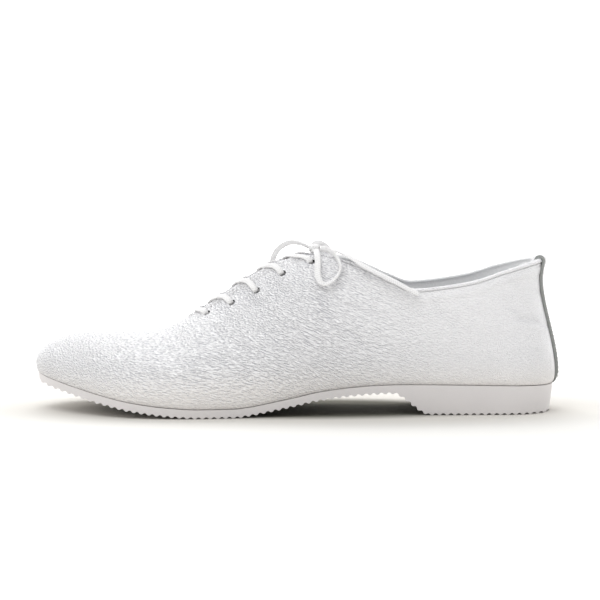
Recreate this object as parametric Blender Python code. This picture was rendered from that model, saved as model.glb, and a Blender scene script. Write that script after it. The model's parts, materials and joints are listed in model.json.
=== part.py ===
"""White leather lace-up jazz shoe for the left foot, standing empty on its rubber sole.

The toe points along -X, the heel along +X and up is +Z. The wearer's left side, which is the
outer or lateral side, is at -Y. The origin lies on the floor under the middle of the heel.
"""

import math

import bmesh
import bpy
import numpy as np
from mathutils import Matrix, Vector

MM = 0.001

# Sole
SOLE_LENGTH = 247 * MM
HEEL_BACK = 30 * MM
BALL_WIDTH = 82 * MM
TOE_SWING = 7 * MM
TOE_ROUND = 60 * MM
TOE_POWER = 2.55
HEEL_ROUND = 28 * MM
HEEL_POWER = 2.6
SOLE_THICKNESS = 4.2 * MM
ARCH_RISE = 10 * MM
TOE_SPRING = 14.2 * MM
HEEL_LENGTH = 61 * MM
BREAST_RUN = 15.6 * MM
SIDE_SLOPE = 0.12
RIPPLE_PITCH = 3.6 * MM
RIPPLE_DEPTH = 1.15 * MM
RIPPLE_CREST = 1.3 * MM
RIPPLE_VALLEY = 0.5 * MM

# Upper
LEATHER = 1.4 * MM
GAP = 0.3 * MM
FEATHER_INSET = 1.8 * MM
ROLL_OUT = 2.9 * MM
ROLL_UP = 5.1 * MM
INSTEP_HEIGHT = 76 * MM
BACK_HEIGHT = 70.5 * MM
COLLAR_WIDTH = 55 * MM
THROAT_GAP = 16 * MM

# Lacing
HOLE_DIAMETER = 3.4 * MM
HOLE_FIRST = 1.4 * MM
HOLE_PITCH = 14.2 * MM
HOLE_EDGES = (6 * MM, 9.8 * MM, 12.4 * MM, 10.9 * MM, 8.4 * MM)
LACE = 2.8 * MM
LACE_FLAT = 1.3 * MM
LACE_ROUND = 2.0 * MM
LACE_LIFT = 0.5 * MM

# Smaller pieces
INSOLE_THICKNESS = 2 * MM
TONGUE_THICKNESS = 1.4 * MM
TONGUE_TUCK = 13 * MM
TONGUE_TOE_TUCK = 8 * MM
TONGUE_CROWN = 0.2
TONGUE_TAIL = 10.5 * MM
TONGUE_LIFT = 1.2 * MM
LACE_CROWN = 0.06
BINDING_WIDTH = 2.2 * MM
BINDING_HEIGHT = 1.7 * MM
BINDING_GAP = 0.42 * MM
STRAP_WIDTH = 12 * MM
STRAP_THICKNESS = 1.5 * MM
STRAP_INSIDE = 12 * MM

# The sole from heel to toe. Widths are shares of the ball width on each side of the centre
# line, before the ends are rounded. The centre line swings towards the big toe.
SOLE_COLUMNS = ("along", "lateral", "medial", "swing", "arch", "spring")
SOLE_TABLE = (
    (0.000, 0.311, 0.311, 0.00, 0.90, 0.00),
    (0.100, 0.327, 0.320, 0.00, 0.96, 0.00),
    (0.200, 0.333, 0.317, 0.00, 1.00, 0.00),
    (0.290, 0.337, 0.300, 0.00, 1.02, 0.00),
    (0.350, 0.345, 0.289, 0.00, 0.98, 0.00),
    (0.405, 0.358, 0.288, 0.00, 0.87, 0.00),
    (0.454, 0.378, 0.296, 0.00, 0.71, 0.00),
    (0.502, 0.402, 0.314, 0.00, 0.46, 0.00),
    (0.550, 0.432, 0.342, 0.00, 0.23, 0.00),
    (0.590, 0.456, 0.370, 0.00, 0.06, 0.00),
    (0.615, 0.470, 0.388, 0.00, 0.00, 0.00),
    (0.680, 0.506, 0.437, 0.02, 0.00, 0.00),
    (0.740, 0.521, 0.475, 0.10, 0.00, 0.06),
    (0.809, 0.512, 0.488, 0.28, 0.00, 0.205),
    (0.868, 0.472, 0.476, 0.50, 0.00, 0.400),
    (0.920, 0.424, 0.446, 0.72, 0.00, 0.605),
    (0.965, 0.380, 0.410, 0.90, 0.00, 0.790),
    (1.000, 0.350, 0.378, 1.00, 0.00, 0.950),
)

# The upper from the toe tip back to the heel seam, one row for each section line. A section
# rises from the sole's edge at the share "foot" to the top line at the share "top". "gap",
# "collar", "instep" and "back" are shares of the throat gap, the collar width, the instep
# height and the back height, and together they place the top line. "heading" is the way in
# which the leather leaves the top line, 0 towards the toe and 90 straight out sideways, and
# "dip" is how steeply. "flare" is the lean of the wall above the sole on the lateral and
# medial side. "high" and "low" say how far each end keeps its own direction.
UPPER_COLUMNS = ("foot", "top", "gap", "collar", "instep", "back",
                 "heading", "dip", "high", "flare_lateral", "flare_medial", "low")
UPPER_TABLE = (
    (1.000, 0.894, 0.00, 0.00, 0.487, 0.000, 0, 3, 0.44, 0, 0, 0.24),
    (0.985, 0.894, 0.00, 0.00, 0.487, 0.000, 32, 3, 0.44, 1, 1, 0.25),
    (0.950, 0.894, 0.00, 0.00, 0.487, 0.000, 62, 2, 0.45, 2, 2, 0.26),
    (0.895, 0.894, 0.00, 0.00, 0.487, 0.000, 90, 0, 0.46, 3, 3, 0.28),
    (0.820, 0.830, 0.00, 0.00, 0.495, 0.000, 90, 0, 0.46, 4, 4, 0.28),
    (0.750, 0.776, 0.00, 0.00, 0.505, 0.000, 90, 0, 0.44, 5, 4, 0.29),
    (0.700, 0.738, 0.00, 0.00, 0.532, 0.000, 90, 0, 0.42, 5, 4, 0.30),
    (0.665, 0.706, 0.00, 0.00, 0.590, 0.000, 90, 0, 0.40, 5, 5, 0.31),
    (0.650, 0.697, 0.30, 0.00, 0.606, 0.000, 90, 6, 0.39, 5, 6, 0.31),
    (0.612, 0.656, 0.42, 0.00, 0.690, 0.000, 90, 20, 0.36, 5, 9, 0.32),
    (0.560, 0.590, 0.62, 0.00, 0.836, 0.000, 90, 32, 0.32, 6, 14, 0.33),
    (0.500, 0.520, 0.82, 0.00, 0.949, 0.000, 90, 27, 0.32, 8, 18, 0.34),
    (0.450, 0.463, 1.00, 0.00, 0.978, 0.000, 92, 20, 0.32, 9, 20, 0.34),
    (0.385, 0.385, 0.00, 0.66, 0.917, 0.000, 96, 58, 0.30, 9, 20, 0.34),
    (0.318, 0.318, 0.00, 0.88, 0.000, 0.879, 95, 76, 0.30, 8, 15, 0.34),
    (0.250, 0.270, 0.00, 0.98, 0.000, 0.823, 92, 82, 0.30, 7, 10, 0.34),
    (0.170, 0.168, 0.00, 0.96, 0.000, 0.868, 90, 83, 0.30, 6, 7, 0.34),
    (0.092, 0.096, 0.00, 0.82, 0.000, 0.942, 104, 88, 0.30, 3, 4, 0.33),
    (0.030, 0.042, 0.00, 0.49, 0.000, 0.988, 135, 97, 0.30, 1, 1, 0.32),
    (0.000, 0.0207, 0.00, 0.00, 0.000, 1.000, 180, 104, 0.30, 0, 0, 0.32),
)
ROWS = len(UPPER_TABLE) - 1
RING = 2 * ROWS
TONGUE_START = 5.5
THROAT_BASE = 7
THROAT_TOP = 12

# The tongue's free end beyond the throat: shares of its length and lift, and of the width there.
TAIL_TABLE = ((0.35, 0, 0.94), (0.65, 0.25, 0.86), (0.88, 0.7, 0.72), (1, 1, 0.52))

# The bow, in millimetres. The near side is the lateral one, which the ends and loops name. Each
# route starts at the knot, and a loop's route ends there too.
KNOT_PLACE = (-84, 0, 76.8)
KNOT_SIZE = (6, 6.6, 5.6)
KNOT_GAP = 0.15
BOW_ROUTES = {
    "lace_loop_near": (
        (-83, -9.5, 76), (-82.7, -13.8, 74.4), (-82.6, -17.8, 71.2), (-82.7, -20.9, 67.8),
        (-82.4, -23.2, 65), (-81, -25.1, 62.6), (-78.4, -25.2, 62), (-75.4, -24.1, 63.6),
        (-72.9, -22.3, 66.4), (-72, -20.4, 69.4), (-72.9, -17.4, 72.4), (-74.6, -13.4, 75.4),
        (-77.6, -8.8, 77.3), (-81, -4.6, 77.7),
    ),
    "lace_end_near": (
        (-79.4, -1.9, 76.4), (-76.5, -4.6, 76.6), (-73, -9, 75.9), (-69.8, -14.6, 74.3),
        (-66.3, -19, 72.7), (-62, -21.8, 70.9), (-57, -24.2, 68.7), (-52, -26.3, 66.5),
        (-48, -27.6, 65), (-44, -28.4, 62.8), (-39.5, -29.3, 60), (-35.4, -29.6, 57.6),
    ),
    "lace_loop_far": (
        (-91, 8, 79), (-95, 11.5, 79.4), (-98.8, 14, 78), (-102, 16.5, 75), (-104, 18, 71),
        (-104.5, 19, 66.5), (-103.5, 20.7, 62), (-101, 22, 59), (-97, 22.8, 58.5),
        (-93.3, 22.8, 60.6), (-89.5, 22, 64.6), (-86, 20.2, 69), (-83.4, 17.6, 72.6),
        (-82.4, 13, 75.6), (-82.9, 8.8, 76.8),
    ),
    "lace_end_far": (
        (-80.8, 3.4, 79.4), (-80.4, 7, 79.8), (-79.6, 11, 78.9), (-78, 14.8, 76.8),
        (-75.8, 18.4, 73.2), (-73.8, 21.4, 68), (-72.4, 24, 62), (-71.4, 26.2, 56), (-70.8, 28, 50),
    ),
}

# How finely the sheets are meshed
ROW_CUTS = 2
TOE_ROWS, TOE_CUTS = 3, 3
HEEL_ROWS, HEEL_CUTS = 2, 5
ROLL_STEPS = 3
WALL_STEPS = 9
EDGE_POINTS = 36
STRAND_POINTS = 7
STRAND_SHARE = 0.67
CORD_STEP = 3.4 * MM
STEP = 1e-3


class Track:
    """A smooth line through a table's values that never swings past them."""

    def __init__(self, places, values):
        self.places = np.array(places, float)
        self.values = np.array(values, float)
        runs = np.diff(self.places)
        rates = np.diff(self.values) / runs
        self.slopes = np.zeros(len(self.places))
        for i in range(1, len(self.places) - 1):
            before, after = rates[i - 1], rates[i]
            if before * after > 0:
                first = 2 * runs[i] + runs[i - 1]
                second = runs[i] + 2 * runs[i - 1]
                self.slopes[i] = (first + second) / (first / before + second / after)
        self.slopes[0], self.slopes[-1] = rates[0], rates[-1]

    def __call__(self, at):
        at = min(max(at, self.places[0]), self.places[-1])
        i = int(np.searchsorted(self.places, at, "right")) - 1
        i = min(i, len(self.places) - 2)
        run = self.places[i + 1] - self.places[i]
        t = (at - self.places[i]) / run
        return float(
            self.values[i] * (1 + 2 * t) * (1 - t) ** 2
            + self.values[i + 1] * t * t * (3 - 2 * t)
            + self.slopes[i] * run * t * (1 - t) ** 2
            - self.slopes[i + 1] * run * t * t * (1 - t)
        )


def column(table, names, name):
    return [row[names.index(name)] for row in table]


SOLE = {
    name: Track(column(SOLE_TABLE, SOLE_COLUMNS, "along"), column(SOLE_TABLE, SOLE_COLUMNS, name))
    for name in SOLE_COLUMNS[1:]
}


def along_of(x):
    return min(max((HEEL_BACK - x) / SOLE_LENGTH, 0.0), 1.0)


def underside(x):
    """Height of the sole's underside if it had no heel block."""
    along = along_of(x)
    return SOLE["arch"](along) * ARCH_RISE + SOLE["spring"](along) * TOE_SPRING


def sole_top(x):
    return underside(x) + SOLE_THICKNESS


def tread_line(x):
    """Height of the ripple crests: on the floor under the heel, then up the breast to the arch."""
    share = min(max((HEEL_BACK - HEEL_LENGTH - x) / BREAST_RUN, 0.0), 1.0)
    soft = share * share * (3 - 2 * share)
    return underside(x) * (share + soft) / 2


def centre_line(along):
    return SOLE["swing"](along) * TOE_SWING


def round_end(distance, length, power):
    if distance >= length:
        return 1.0
    return (1 - (1 - distance / length) ** power) ** (1 / power)


def edge_point(turn):
    """The sole's edge in plan. turn runs from 0 at the toe by the lateral side to 1 at the heel,
    and by the medial side back to 2 at the toe."""
    turn = turn % 2
    along = (1 + math.cos(math.pi * turn)) / 2
    side, name = (-1, "lateral") if turn < 1 else (1, "medial")
    half = SOLE[name](along) * BALL_WIDTH
    half *= round_end(along * SOLE_LENGTH, HEEL_ROUND, HEEL_POWER)
    half *= round_end((1 - along) * SOLE_LENGTH, TOE_ROUND, TOE_POWER)
    return np.array([HEEL_BACK - along * SOLE_LENGTH, centre_line(along) + side * half])


def edge_out(turn):
    way = edge_point(turn + STEP) - edge_point(turn - STEP)
    way /= np.linalg.norm(way)
    return np.array([way[1], -way[0]])


def edge_inset(turn, inset):
    return edge_point(turn) - edge_out(turn) * inset


def around(lateral, medial, jump=0.0):
    """A track right round the shoe, from the toe by the lateral side to the heel and back."""
    values = [medial[1] - jump, *lateral, *reversed(medial[:-1]), lateral[1] + jump]
    return Track(range(-1, RING + 2), values)


def upper_column(name):
    return np.array(column(UPPER_TABLE, UPPER_COLUMNS, name), float)


TURN = np.arccos(2 * upper_column("foot") - 1) / math.pi
TOP_X = HEEL_BACK - upper_column("top") * SOLE_LENGTH
TOP_HALF = upper_column("gap") * THROAT_GAP / 2 + upper_column("collar") * COLLAR_WIDTH / 2
TOP_Z = upper_column("instep") * INSTEP_HEIGHT + upper_column("back") * BACK_HEIGHT
HEADING = upper_column("heading")
UPPER = {
    "turn": around(TURN, 2 - TURN, 2),
    "x": around(TOP_X, TOP_X),
    "half": around(-TOP_HALF, TOP_HALF),
    "z": around(TOP_Z, TOP_Z),
    "heading": around(HEADING, 360 - HEADING, 360),
    "flare": around(upper_column("flare_lateral"), upper_column("flare_medial")),
    **{name: around(upper_column(name), upper_column(name)) for name in ("dip", "high", "low")},
}


def top_point(line):
    """The upper's top line: the ridge of the vamp, then the throat's edge, then the collar."""
    x = UPPER["x"](line)
    return np.array([x, centre_line(along_of(x)) + UPPER["half"](line), UPPER["z"](line)])


def skin(line, rise):
    """A point of the upper's outer face. line counts section lines round the shoe, rise runs
    from 0 at the sole to 1 at the top of the rolled foot, and on to 2 at the top line."""
    line = line % RING
    turn = UPPER["turn"](line)
    out = np.append(edge_out(turn), 0.0)
    foot = np.append(edge_inset(turn, FEATHER_INSET), 0.0)
    foot[2] = sole_top(foot[0]) + GAP
    flare = math.radians(UPPER["flare"](line))
    last = math.atan2(ROLL_OUT, ROLL_UP * math.tan(flare))
    swing = min(rise, 1.0) * last
    rolled = foot + out * ROLL_OUT * math.sin(swing)
    rolled[2] += ROLL_UP * (1 - math.cos(swing))
    if rise <= 1:
        return rolled
    top = top_point(line)
    chord = np.linalg.norm(top - rolled)
    heading, dip = math.radians(UPPER["heading"](line)), math.radians(UPPER["dip"](line))
    down = np.array([-math.cos(heading) * math.cos(dip), -math.sin(heading) * math.cos(dip),
                     -math.sin(dip)])
    up = out * math.sin(flare) + np.array([0, 0, math.cos(flare)])
    a, b = rolled + up * UPPER["low"](line) * chord, top + down * UPPER["high"](line) * chord
    t = rise - 1
    return (rolled * (1 - t) ** 3 + a * 3 * t * (1 - t) ** 2 + b * 3 * t * t * (1 - t) + top * t**3)


def skin_frame(line, rise):
    """A point of the outer face, the way out of it and the way up along its section line."""
    rise = min(max(rise, STEP), 2 - STEP)
    up = skin(line, rise + STEP) - skin(line, rise - STEP)
    ahead = skin(line + STEP, rise) - skin(line - STEP, rise)
    out = np.cross(ahead, up)
    return skin(line, rise), out / np.linalg.norm(out), up / np.linalg.norm(up)


def rise_below(line, distance):
    """The rise that lies a distance down the leather from the top line."""
    rises = np.linspace(2, 1, 60)
    points = np.array([skin(line, rise) for rise in rises])
    lengths = np.append(0, np.cumsum(np.linalg.norm(np.diff(points, axis=0), axis=1)))
    return float(np.interp(distance, lengths, rises))


def line_at_side(rise, side):
    """The section line near the heel seam that passes a given distance to one side of it."""
    lines = np.linspace(ROWS - 1.5, ROWS + 1.5, 49)
    return float(np.interp(side, [skin(line, rise)[1] for line in lines], lines))


def throat_line(distance):
    """The lateral section line whose top lies a distance down the throat's edge from its top."""
    lines = np.linspace(THROAT_TOP, THROAT_BASE, 60)
    points = np.array([top_point(line) for line in lines])
    lengths = np.append(0, np.cumsum(np.linalg.norm(np.diff(points, axis=0), axis=1)))
    return float(np.interp(distance, lengths, lines))


def material(name, colour, roughness):
    made = bpy.data.materials.new(name)
    made.use_nodes = True
    shader = made.node_tree.nodes["Principled BSDF"]
    shader.inputs["Base Color"].default_value = (*colour, 1)
    shader.inputs["Roughness"].default_value = roughness
    shader.inputs["Metallic"].default_value = 0
    return made


def add(name, mesh, finish):
    made = bpy.data.objects.new(name, mesh)
    bpy.context.scene.collection.objects.link(made)
    if finish:
        mesh.materials.append(finish)
    return made


def as_cutter(made):
    made.hide_render = True
    made.display_type = "WIRE"
    return made


def sheet_mesh(name, grid, closed=False):
    """A sheet from rows of points. Points in the same place become one."""
    bm = bmesh.new()
    rows = [[bm.verts.new(point) for point in row] for row in grid]
    pairs = list(zip(rows, rows[1:]))
    if closed:
        pairs.append((rows[-1], rows[0]))
    for here, following in pairs:
        for j in range(len(here) - 1):
            bm.faces.new((here[j], following[j], following[j + 1], here[j + 1]))
    bmesh.ops.remove_doubles(bm, verts=bm.verts, dist=0.00001)
    bmesh.ops.dissolve_degenerate(bm, edges=bm.edges, dist=0.00001)
    mesh = bpy.data.meshes.new(name)
    bm.to_mesh(mesh)
    bm.free()
    mesh.shade_smooth()
    return mesh


def thicken(made, thickness, offset):
    wall = made.modifiers.new("Wall", "SOLIDIFY")
    wall.thickness = thickness
    wall.offset = offset
    wall.use_even_offset = True


def cut(made, cutter, operation="DIFFERENCE"):
    change = made.modifiers.new(operation.title(), "BOOLEAN")
    change.operation = operation
    change.solver = "EXACT"
    change.object = cutter


def tube_mesh(name, centres, sides, across, flat, ways=None):
    """An oval tube along points. ways, where given, point along its width at each point."""
    centres = [np.array(point, float) for point in centres]
    bm = bmesh.new()
    rings = []
    way = None
    for i, centre in enumerate(centres):
        ahead = centres[min(i + 1, len(centres) - 1)] - centres[max(i - 1, 0)]
        ahead /= np.linalg.norm(ahead)
        if ways is not None:
            way = ways[i]
        elif way is None:
            way = np.cross(ahead, (0, 0, 1))
        way = way - ahead * np.dot(way, ahead)
        way = way / np.linalg.norm(way)
        over = np.cross(ahead, way)
        angles = [2 * math.pi * k / sides for k in range(sides)]
        rings.append([
            bm.verts.new(centre + way * across / 2 * math.cos(a) + over * flat / 2 * math.sin(a))
            for a in angles
        ])
    for here, following in zip(rings, rings[1:]):
        for k in range(sides):
            bm.faces.new((here[k], here[(k + 1) % sides], following[(k + 1) % sides], following[k]))
    bm.faces.new(list(reversed(rings[0])))
    bm.faces.new(rings[-1])
    mesh = bpy.data.meshes.new(name)
    bm.to_mesh(mesh)
    bm.free()
    mesh.shade_smooth()
    return mesh


def side_profile():
    """The sole's side view: ripple crests and valleys along the tread, then back over the top."""
    reach = 6 * MM
    xs = np.arange(HEEL_BACK + reach, HEEL_BACK - SOLE_LENGTH - reach, -0.2 * MM)
    line = np.array([[x, tread_line(x)] for x in xs])
    lengths = np.append(0, np.cumsum(np.linalg.norm(np.diff(line, axis=0), axis=1)))
    lengths -= np.interp(0, -line[:, 0], lengths)

    def on_line(length, depth):
        here, following = (
            np.array([np.interp(at, lengths, line[:, i]) for i in (0, 1)])
            for at in (length - 0.5 * MM, length + 0.5 * MM)
        )
        way = (following - here) / np.linalg.norm(following - here)
        place = np.array([np.interp(length, lengths, line[:, i]) for i in (0, 1)])
        return place + np.array([way[1], -way[0]]) * depth

    tread = []
    first = math.ceil((lengths[0] + RIPPLE_PITCH) / RIPPLE_PITCH)
    last = math.floor((lengths[-1] - RIPPLE_PITCH) / RIPPLE_PITCH)
    for count in range(first, last + 1):
        crest = count * RIPPLE_PITCH
        valley = crest + RIPPLE_PITCH / 2
        tread += [on_line(crest - RIPPLE_CREST / 2, 0), on_line(crest + RIPPLE_CREST / 2, 0)]
        tread += [on_line(valley - RIPPLE_VALLEY / 2, RIPPLE_DEPTH),
                  on_line(valley + RIPPLE_VALLEY / 2, RIPPLE_DEPTH)]
    tops = np.linspace(tread[-1][0] - RIPPLE_PITCH, tread[0][0] + RIPPLE_PITCH, 70)
    return tread + [np.array([x, sole_top(x)]) for x in tops]


def make_outsole(rubber):
    profile = side_profile()
    bm = bmesh.new()
    sides = [[bm.verts.new((x, y, z)) for x, z in profile] for y in (-BALL_WIDTH, BALL_WIDTH)]
    for i in range(len(profile)):
        j = (i + 1) % len(profile)
        bm.faces.new((sides[0][i], sides[0][j], sides[1][j], sides[1][i]))
    bm.faces.new(list(reversed(sides[0])))
    bm.faces.new(sides[1])
    bmesh.ops.recalc_face_normals(bm, faces=bm.faces)
    mesh = bpy.data.meshes.new("outsole")
    bm.to_mesh(mesh)
    bm.free()
    outsole = add("outsole", mesh, rubber)

    low, high = -3 * MM, SOLE_THICKNESS + ARCH_RISE + TOE_SPRING
    bm = bmesh.new()
    rings = []
    for level in (low, high):
        ring = []
        for i in range(2 * EDGE_POINTS):
            turn = i / EDGE_POINTS
            inset = SIDE_SLOPE * (sole_top(edge_point(turn)[0]) - level)
            ring.append(bm.verts.new((*edge_inset(turn, inset), level)))
        rings.append(ring)
    for i in range(2 * EDGE_POINTS):
        j = (i + 1) % (2 * EDGE_POINTS)
        bm.faces.new((rings[0][i], rings[0][j], rings[1][j], rings[1][i]))
    bm.faces.new(list(reversed(rings[0])))
    bm.faces.new(rings[1])
    bmesh.ops.recalc_face_normals(bm, faces=bm.faces)
    mesh = bpy.data.meshes.new("outline")
    bm.to_mesh(mesh)
    bm.free()
    cut(outsole, as_cutter(add("outline", mesh, None)), "INTERSECT")


def make_insole(cloth):
    inset = FEATHER_INSET + LEATHER / 2 + GAP
    grid = []
    for i in range(EDGE_POINTS + 1):
        turn = i / EDGE_POINTS
        left, right = edge_inset(turn, inset), edge_inset(2 - turn, inset)
        row = [left * (1 - share) + right * share for share in (0, 0.5, 1)]
        grid.append([(x, y, sole_top(x) + GAP) for x, y in row])
    thicken(add("insole", sheet_mesh("insole", grid), cloth), INSOLE_THICKNESS, 1)


def section_lines():
    """Where the upper is meshed: closer together round the toe and the heel."""
    lines = []
    for row in range(RING):
        from_toe = min(row, RING - 1 - row)
        cuts = ROW_CUTS
        if from_toe < TOE_ROWS:
            cuts = TOE_CUTS
        elif from_toe >= ROWS - HEEL_ROWS:
            cuts = HEEL_CUTS
        lines += [row + i / cuts for i in range(cuts)]
    return lines


def make_upper(leather):
    rises = [i / ROLL_STEPS for i in range(ROLL_STEPS)]
    rises += [1 + i / WALL_STEPS for i in range(WALL_STEPS + 1)]
    grid = [[skin(line, rise) for rise in rises] for line in section_lines()]
    upper = add("upper", sheet_mesh("upper", grid, closed=True), leather)
    thicken(upper, LEATHER, -1)
    cut(upper, make_hole_cutter())


def hole_places():
    """For each row of holes from the top, the lateral and the medial section line and rise."""
    rows = []
    for row, edge in enumerate(HOLE_EDGES):
        line = throat_line(HOLE_FIRST + row * HOLE_PITCH)
        rows.append([(side, rise_below(side, edge)) for side in (line, RING - line)])
    return rows


def make_hole_cutter():
    bm = bmesh.new()
    for row in hole_places():
        for line, rise in row:
            place, out, _ = skin_frame(line, rise)
            turned = Vector(out).to_track_quat("Z", "Y").to_matrix().to_4x4()
            bmesh.ops.create_cone(
                bm, cap_ends=True, segments=12, radius1=HOLE_DIAMETER / 2,
                radius2=HOLE_DIAMETER / 2, depth=8 * LEATHER,
                matrix=Matrix.Translation(place) @ turned,
            )
    mesh = bpy.data.meshes.new("hole_cutter")
    bm.to_mesh(mesh)
    bm.free()
    return as_cutter(add("hole_cutter", mesh, None))


def resampled(points, count):
    """Points evenly spaced along a line through the given ones."""
    points = np.array(points)
    lengths = np.append(0, np.cumsum(np.linalg.norm(np.diff(points, axis=0), axis=1)))
    wanted = np.linspace(0, lengths[-1], count)
    return np.stack([np.interp(wanted, lengths, points[:, i]) for i in range(3)], axis=1)


def across_throat(line, depth, reach, crown, count):
    """Points across the throat, from a reach down one flap to the same on the other. They lie a
    depth below the leather's outer face, or above it, and bridge the gap between the flaps. A
    crown of 0 is a taut bridge, and a third carries on the flaps' own curve."""
    sides = []
    for side in (line, RING - line):
        rises = np.linspace(rise_below(side, reach), 2 - 2 * STEP, 8)
        frames = [skin_frame(side, rise) for rise in rises]
        sides.append(([place - out * depth for place, out, _ in frames], frames[-1][2]))
    (left, left_up), (right, right_up) = sides
    wide = np.linalg.norm(left[-1] - right[-1])
    a, b = left[-1] + left_up * wide * crown, right[-1] + right_up * wide * crown
    bridge = [left[-1] * (1 - t) ** 3 + a * 3 * t * (1 - t) ** 2 + b * 3 * t * t * (1 - t)
              + right[-1] * t**3 for t in (0.25, 0.5, 0.75)]
    return resampled(left + bridge + right[::-1], count)


def make_tongue(leather):
    grid = []
    lines = [line for line in section_lines() if TONGUE_START <= line < THROAT_TOP]
    for line in lines + [THROAT_TOP - 0.1]:
        share = (line - TONGUE_START) / (THROAT_TOP - TONGUE_START)
        tuck = TONGUE_TOE_TUCK + (TONGUE_TUCK - TONGUE_TOE_TUCK) * min(2 * share, 1)
        grid.append(across_throat(line, LEATHER + 1.5 * GAP, tuck, TONGUE_CROWN, 15))
    last, middle = grid[-1], grid[-1][7]
    ahead = middle - grid[-2][7]
    ahead = np.array([ahead[0], ahead[1], 0]) / np.linalg.norm(ahead[:2])
    for length, lift, width in TAIL_TABLE:
        moved = ahead * TONGUE_TAIL * length + np.array([0, 0, TONGUE_LIFT * lift])
        grid.append(middle + moved + (last - middle) * width)
    thicken(add("tongue", sheet_mesh("tongue", grid), leather), TONGUE_THICKNESS, -1)


def rim_frame(line):
    """The middle of the upper's cut rim, the way out of the leather and the way up from it."""
    place, out, up = skin_frame(line, 2)
    return place - out * LEATHER / 2, out, up


def make_binding(leather):
    centres, ways = [], []
    collar = [line for line in section_lines() if THROAT_TOP <= line <= RING - THROAT_TOP]
    for line in collar:
        middle, out, up = rim_frame(line)
        centres.append(middle + up * (BINDING_GAP + BINDING_HEIGHT / 2))
        ways.append(out)
    mesh = tube_mesh("collar_binding", centres, 8, BINDING_WIDTH, BINDING_HEIGHT, ways)
    add("collar_binding", mesh, leather)


def strap_line(side):
    """The strap's inner face at one distance from the seam: up outside, over the binding, down
    inside. Near the rim it stands off far enough to clear the binding."""
    stand_off = (BINDING_WIDTH - LEATHER) / 2
    loop = BINDING_WIDTH / 2 + GAP
    easing = 8 * MM
    outside, inside = [], []
    for rise in np.linspace(0.52, 2 - STEP, 15):
        line = line_at_side(rise, side)
        place, out, up = skin_frame(line, rise)
        to_rim = np.linalg.norm(place - skin(line, 2))
        extra = stand_off * max(0.0, 1 - to_rim / easing)
        outside.append(place + out * (GAP + extra))
        if to_rim < STRAP_INSIDE:
            inside.append(place - out * (LEATHER + GAP + extra))
    middle, out, up = rim_frame(line_at_side(2 - STEP, side))
    middle = middle + up * (BINDING_GAP + BINDING_HEIGHT / 2)
    over = [middle + (out * math.cos(a) + up * math.sin(a)) * loop
            for a in np.linspace(0, math.pi, 7)]
    return outside[:-1] + over + inside[-2::-1]


def make_back_strap(leather):
    sides = np.linspace(-STRAP_WIDTH / 2, STRAP_WIDTH / 2, 5)
    grid = [strap_line(side) for side in sides]
    fewest = min(len(line) for line in grid)
    grid = [line[:fewest] for line in grid]
    thicken(add("back_strap", sheet_mesh("back_strap", grid), leather), STRAP_THICKNESS, 1)


def strand(row, lower_row, from_lateral, end):
    """One outside strand: from over its hole, across its own flap and the gap, towards a hole of
    another row on the other side, as far as a share of the way. It lies flat on the leather."""
    lines = [hole_places()[at][0][0] for at in (row, lower_row)]
    edges = [HOLE_EDGES[at] for at in (row, lower_row)]
    points, ways = [], []
    for share in np.linspace(0, end, STRAND_POINTS):
        line = lines[0] + (lines[1] - lines[0]) * share
        edge = edges[0] + (edges[1] - edges[0]) * share
        across = across_throat(line, -(LACE_LIFT + LACE_FLAT / 2), edge, LACE_CROWN, 41)
        if not from_lateral:
            across = across[::-1]
        points.append([np.interp(share, np.linspace(0, 1, 41), across[:, i]) for i in range(3)])
        ways.append(top_point(line + STEP) - top_point(line - STEP))
    return points, ways


def make_laces(cord):
    """The outside strands: a straight bar at the throat's foot, and a crossing between rows."""
    last = len(HOLE_EDGES) - 1
    points, ways = strand(last, last, True, 1)
    add("lace_bar", tube_mesh("lace_bar", points, 8, LACE, LACE_FLAT, ways), cord)
    for row in range(last):
        name = f"lace_crossing_{row + 1}"
        halves = []
        for from_lateral in (True, False):
            points, ways = strand(row, row + 1, from_lateral, STRAND_SHARE)
            halves.append(tube_mesh(name, points, 8, LACE, LACE_FLAT, ways))
        crossing = add(name, halves[0], cord)
        cut(crossing, as_cutter(add(f"{name}_other", halves[1], None)), "UNION")


def smooth_route(points, step):
    """Points about a step apart on a smooth curve through a cord's own points."""
    points = [np.array(point) * MM for point in points]
    ends = [2 * points[0] - points[1], *points, 2 * points[-1] - points[-2]]
    fine = []
    for a, b, c, d in zip(ends, ends[1:], ends[2:], ends[3:]):
        for t in np.linspace(0, 1, 12, endpoint=False):
            fine.append(0.5 * (2 * b + (c - a) * t + (2 * a - 5 * b + 4 * c - d) * t * t
                               + (3 * b - a - 3 * c + d) * t**3))
    fine.append(points[-1])
    length = np.linalg.norm(np.diff(fine, axis=0), axis=1).sum()
    return resampled(fine, round(length / step) + 1)


def at_knot(point):
    """Where a cord that comes straight from a point meets the knot."""
    way = np.array(point, float) - KNOT_PLACE
    way /= np.linalg.norm(way)
    reach = 1 / np.linalg.norm(way / (np.array(KNOT_SIZE) / 2))
    return KNOT_PLACE + way * (reach + KNOT_GAP)


def make_cord(name, route, cord):
    route = [at_knot(route[0]), *route]
    if "loop" in name:
        route.append(at_knot(route[-1]))
    points = smooth_route(route, CORD_STEP)
    curve = bpy.data.curves.new(name, "CURVE")
    curve.dimensions = "3D"
    curve.bevel_depth = LACE_ROUND / 2
    curve.bevel_resolution = 2
    curve.use_fill_caps = True
    spline = curve.splines.new("POLY")
    spline.points.add(len(points) - 1)
    for made, point in zip(spline.points, points):
        made.co = (*point, 1)
    add(name, curve, cord)


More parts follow.
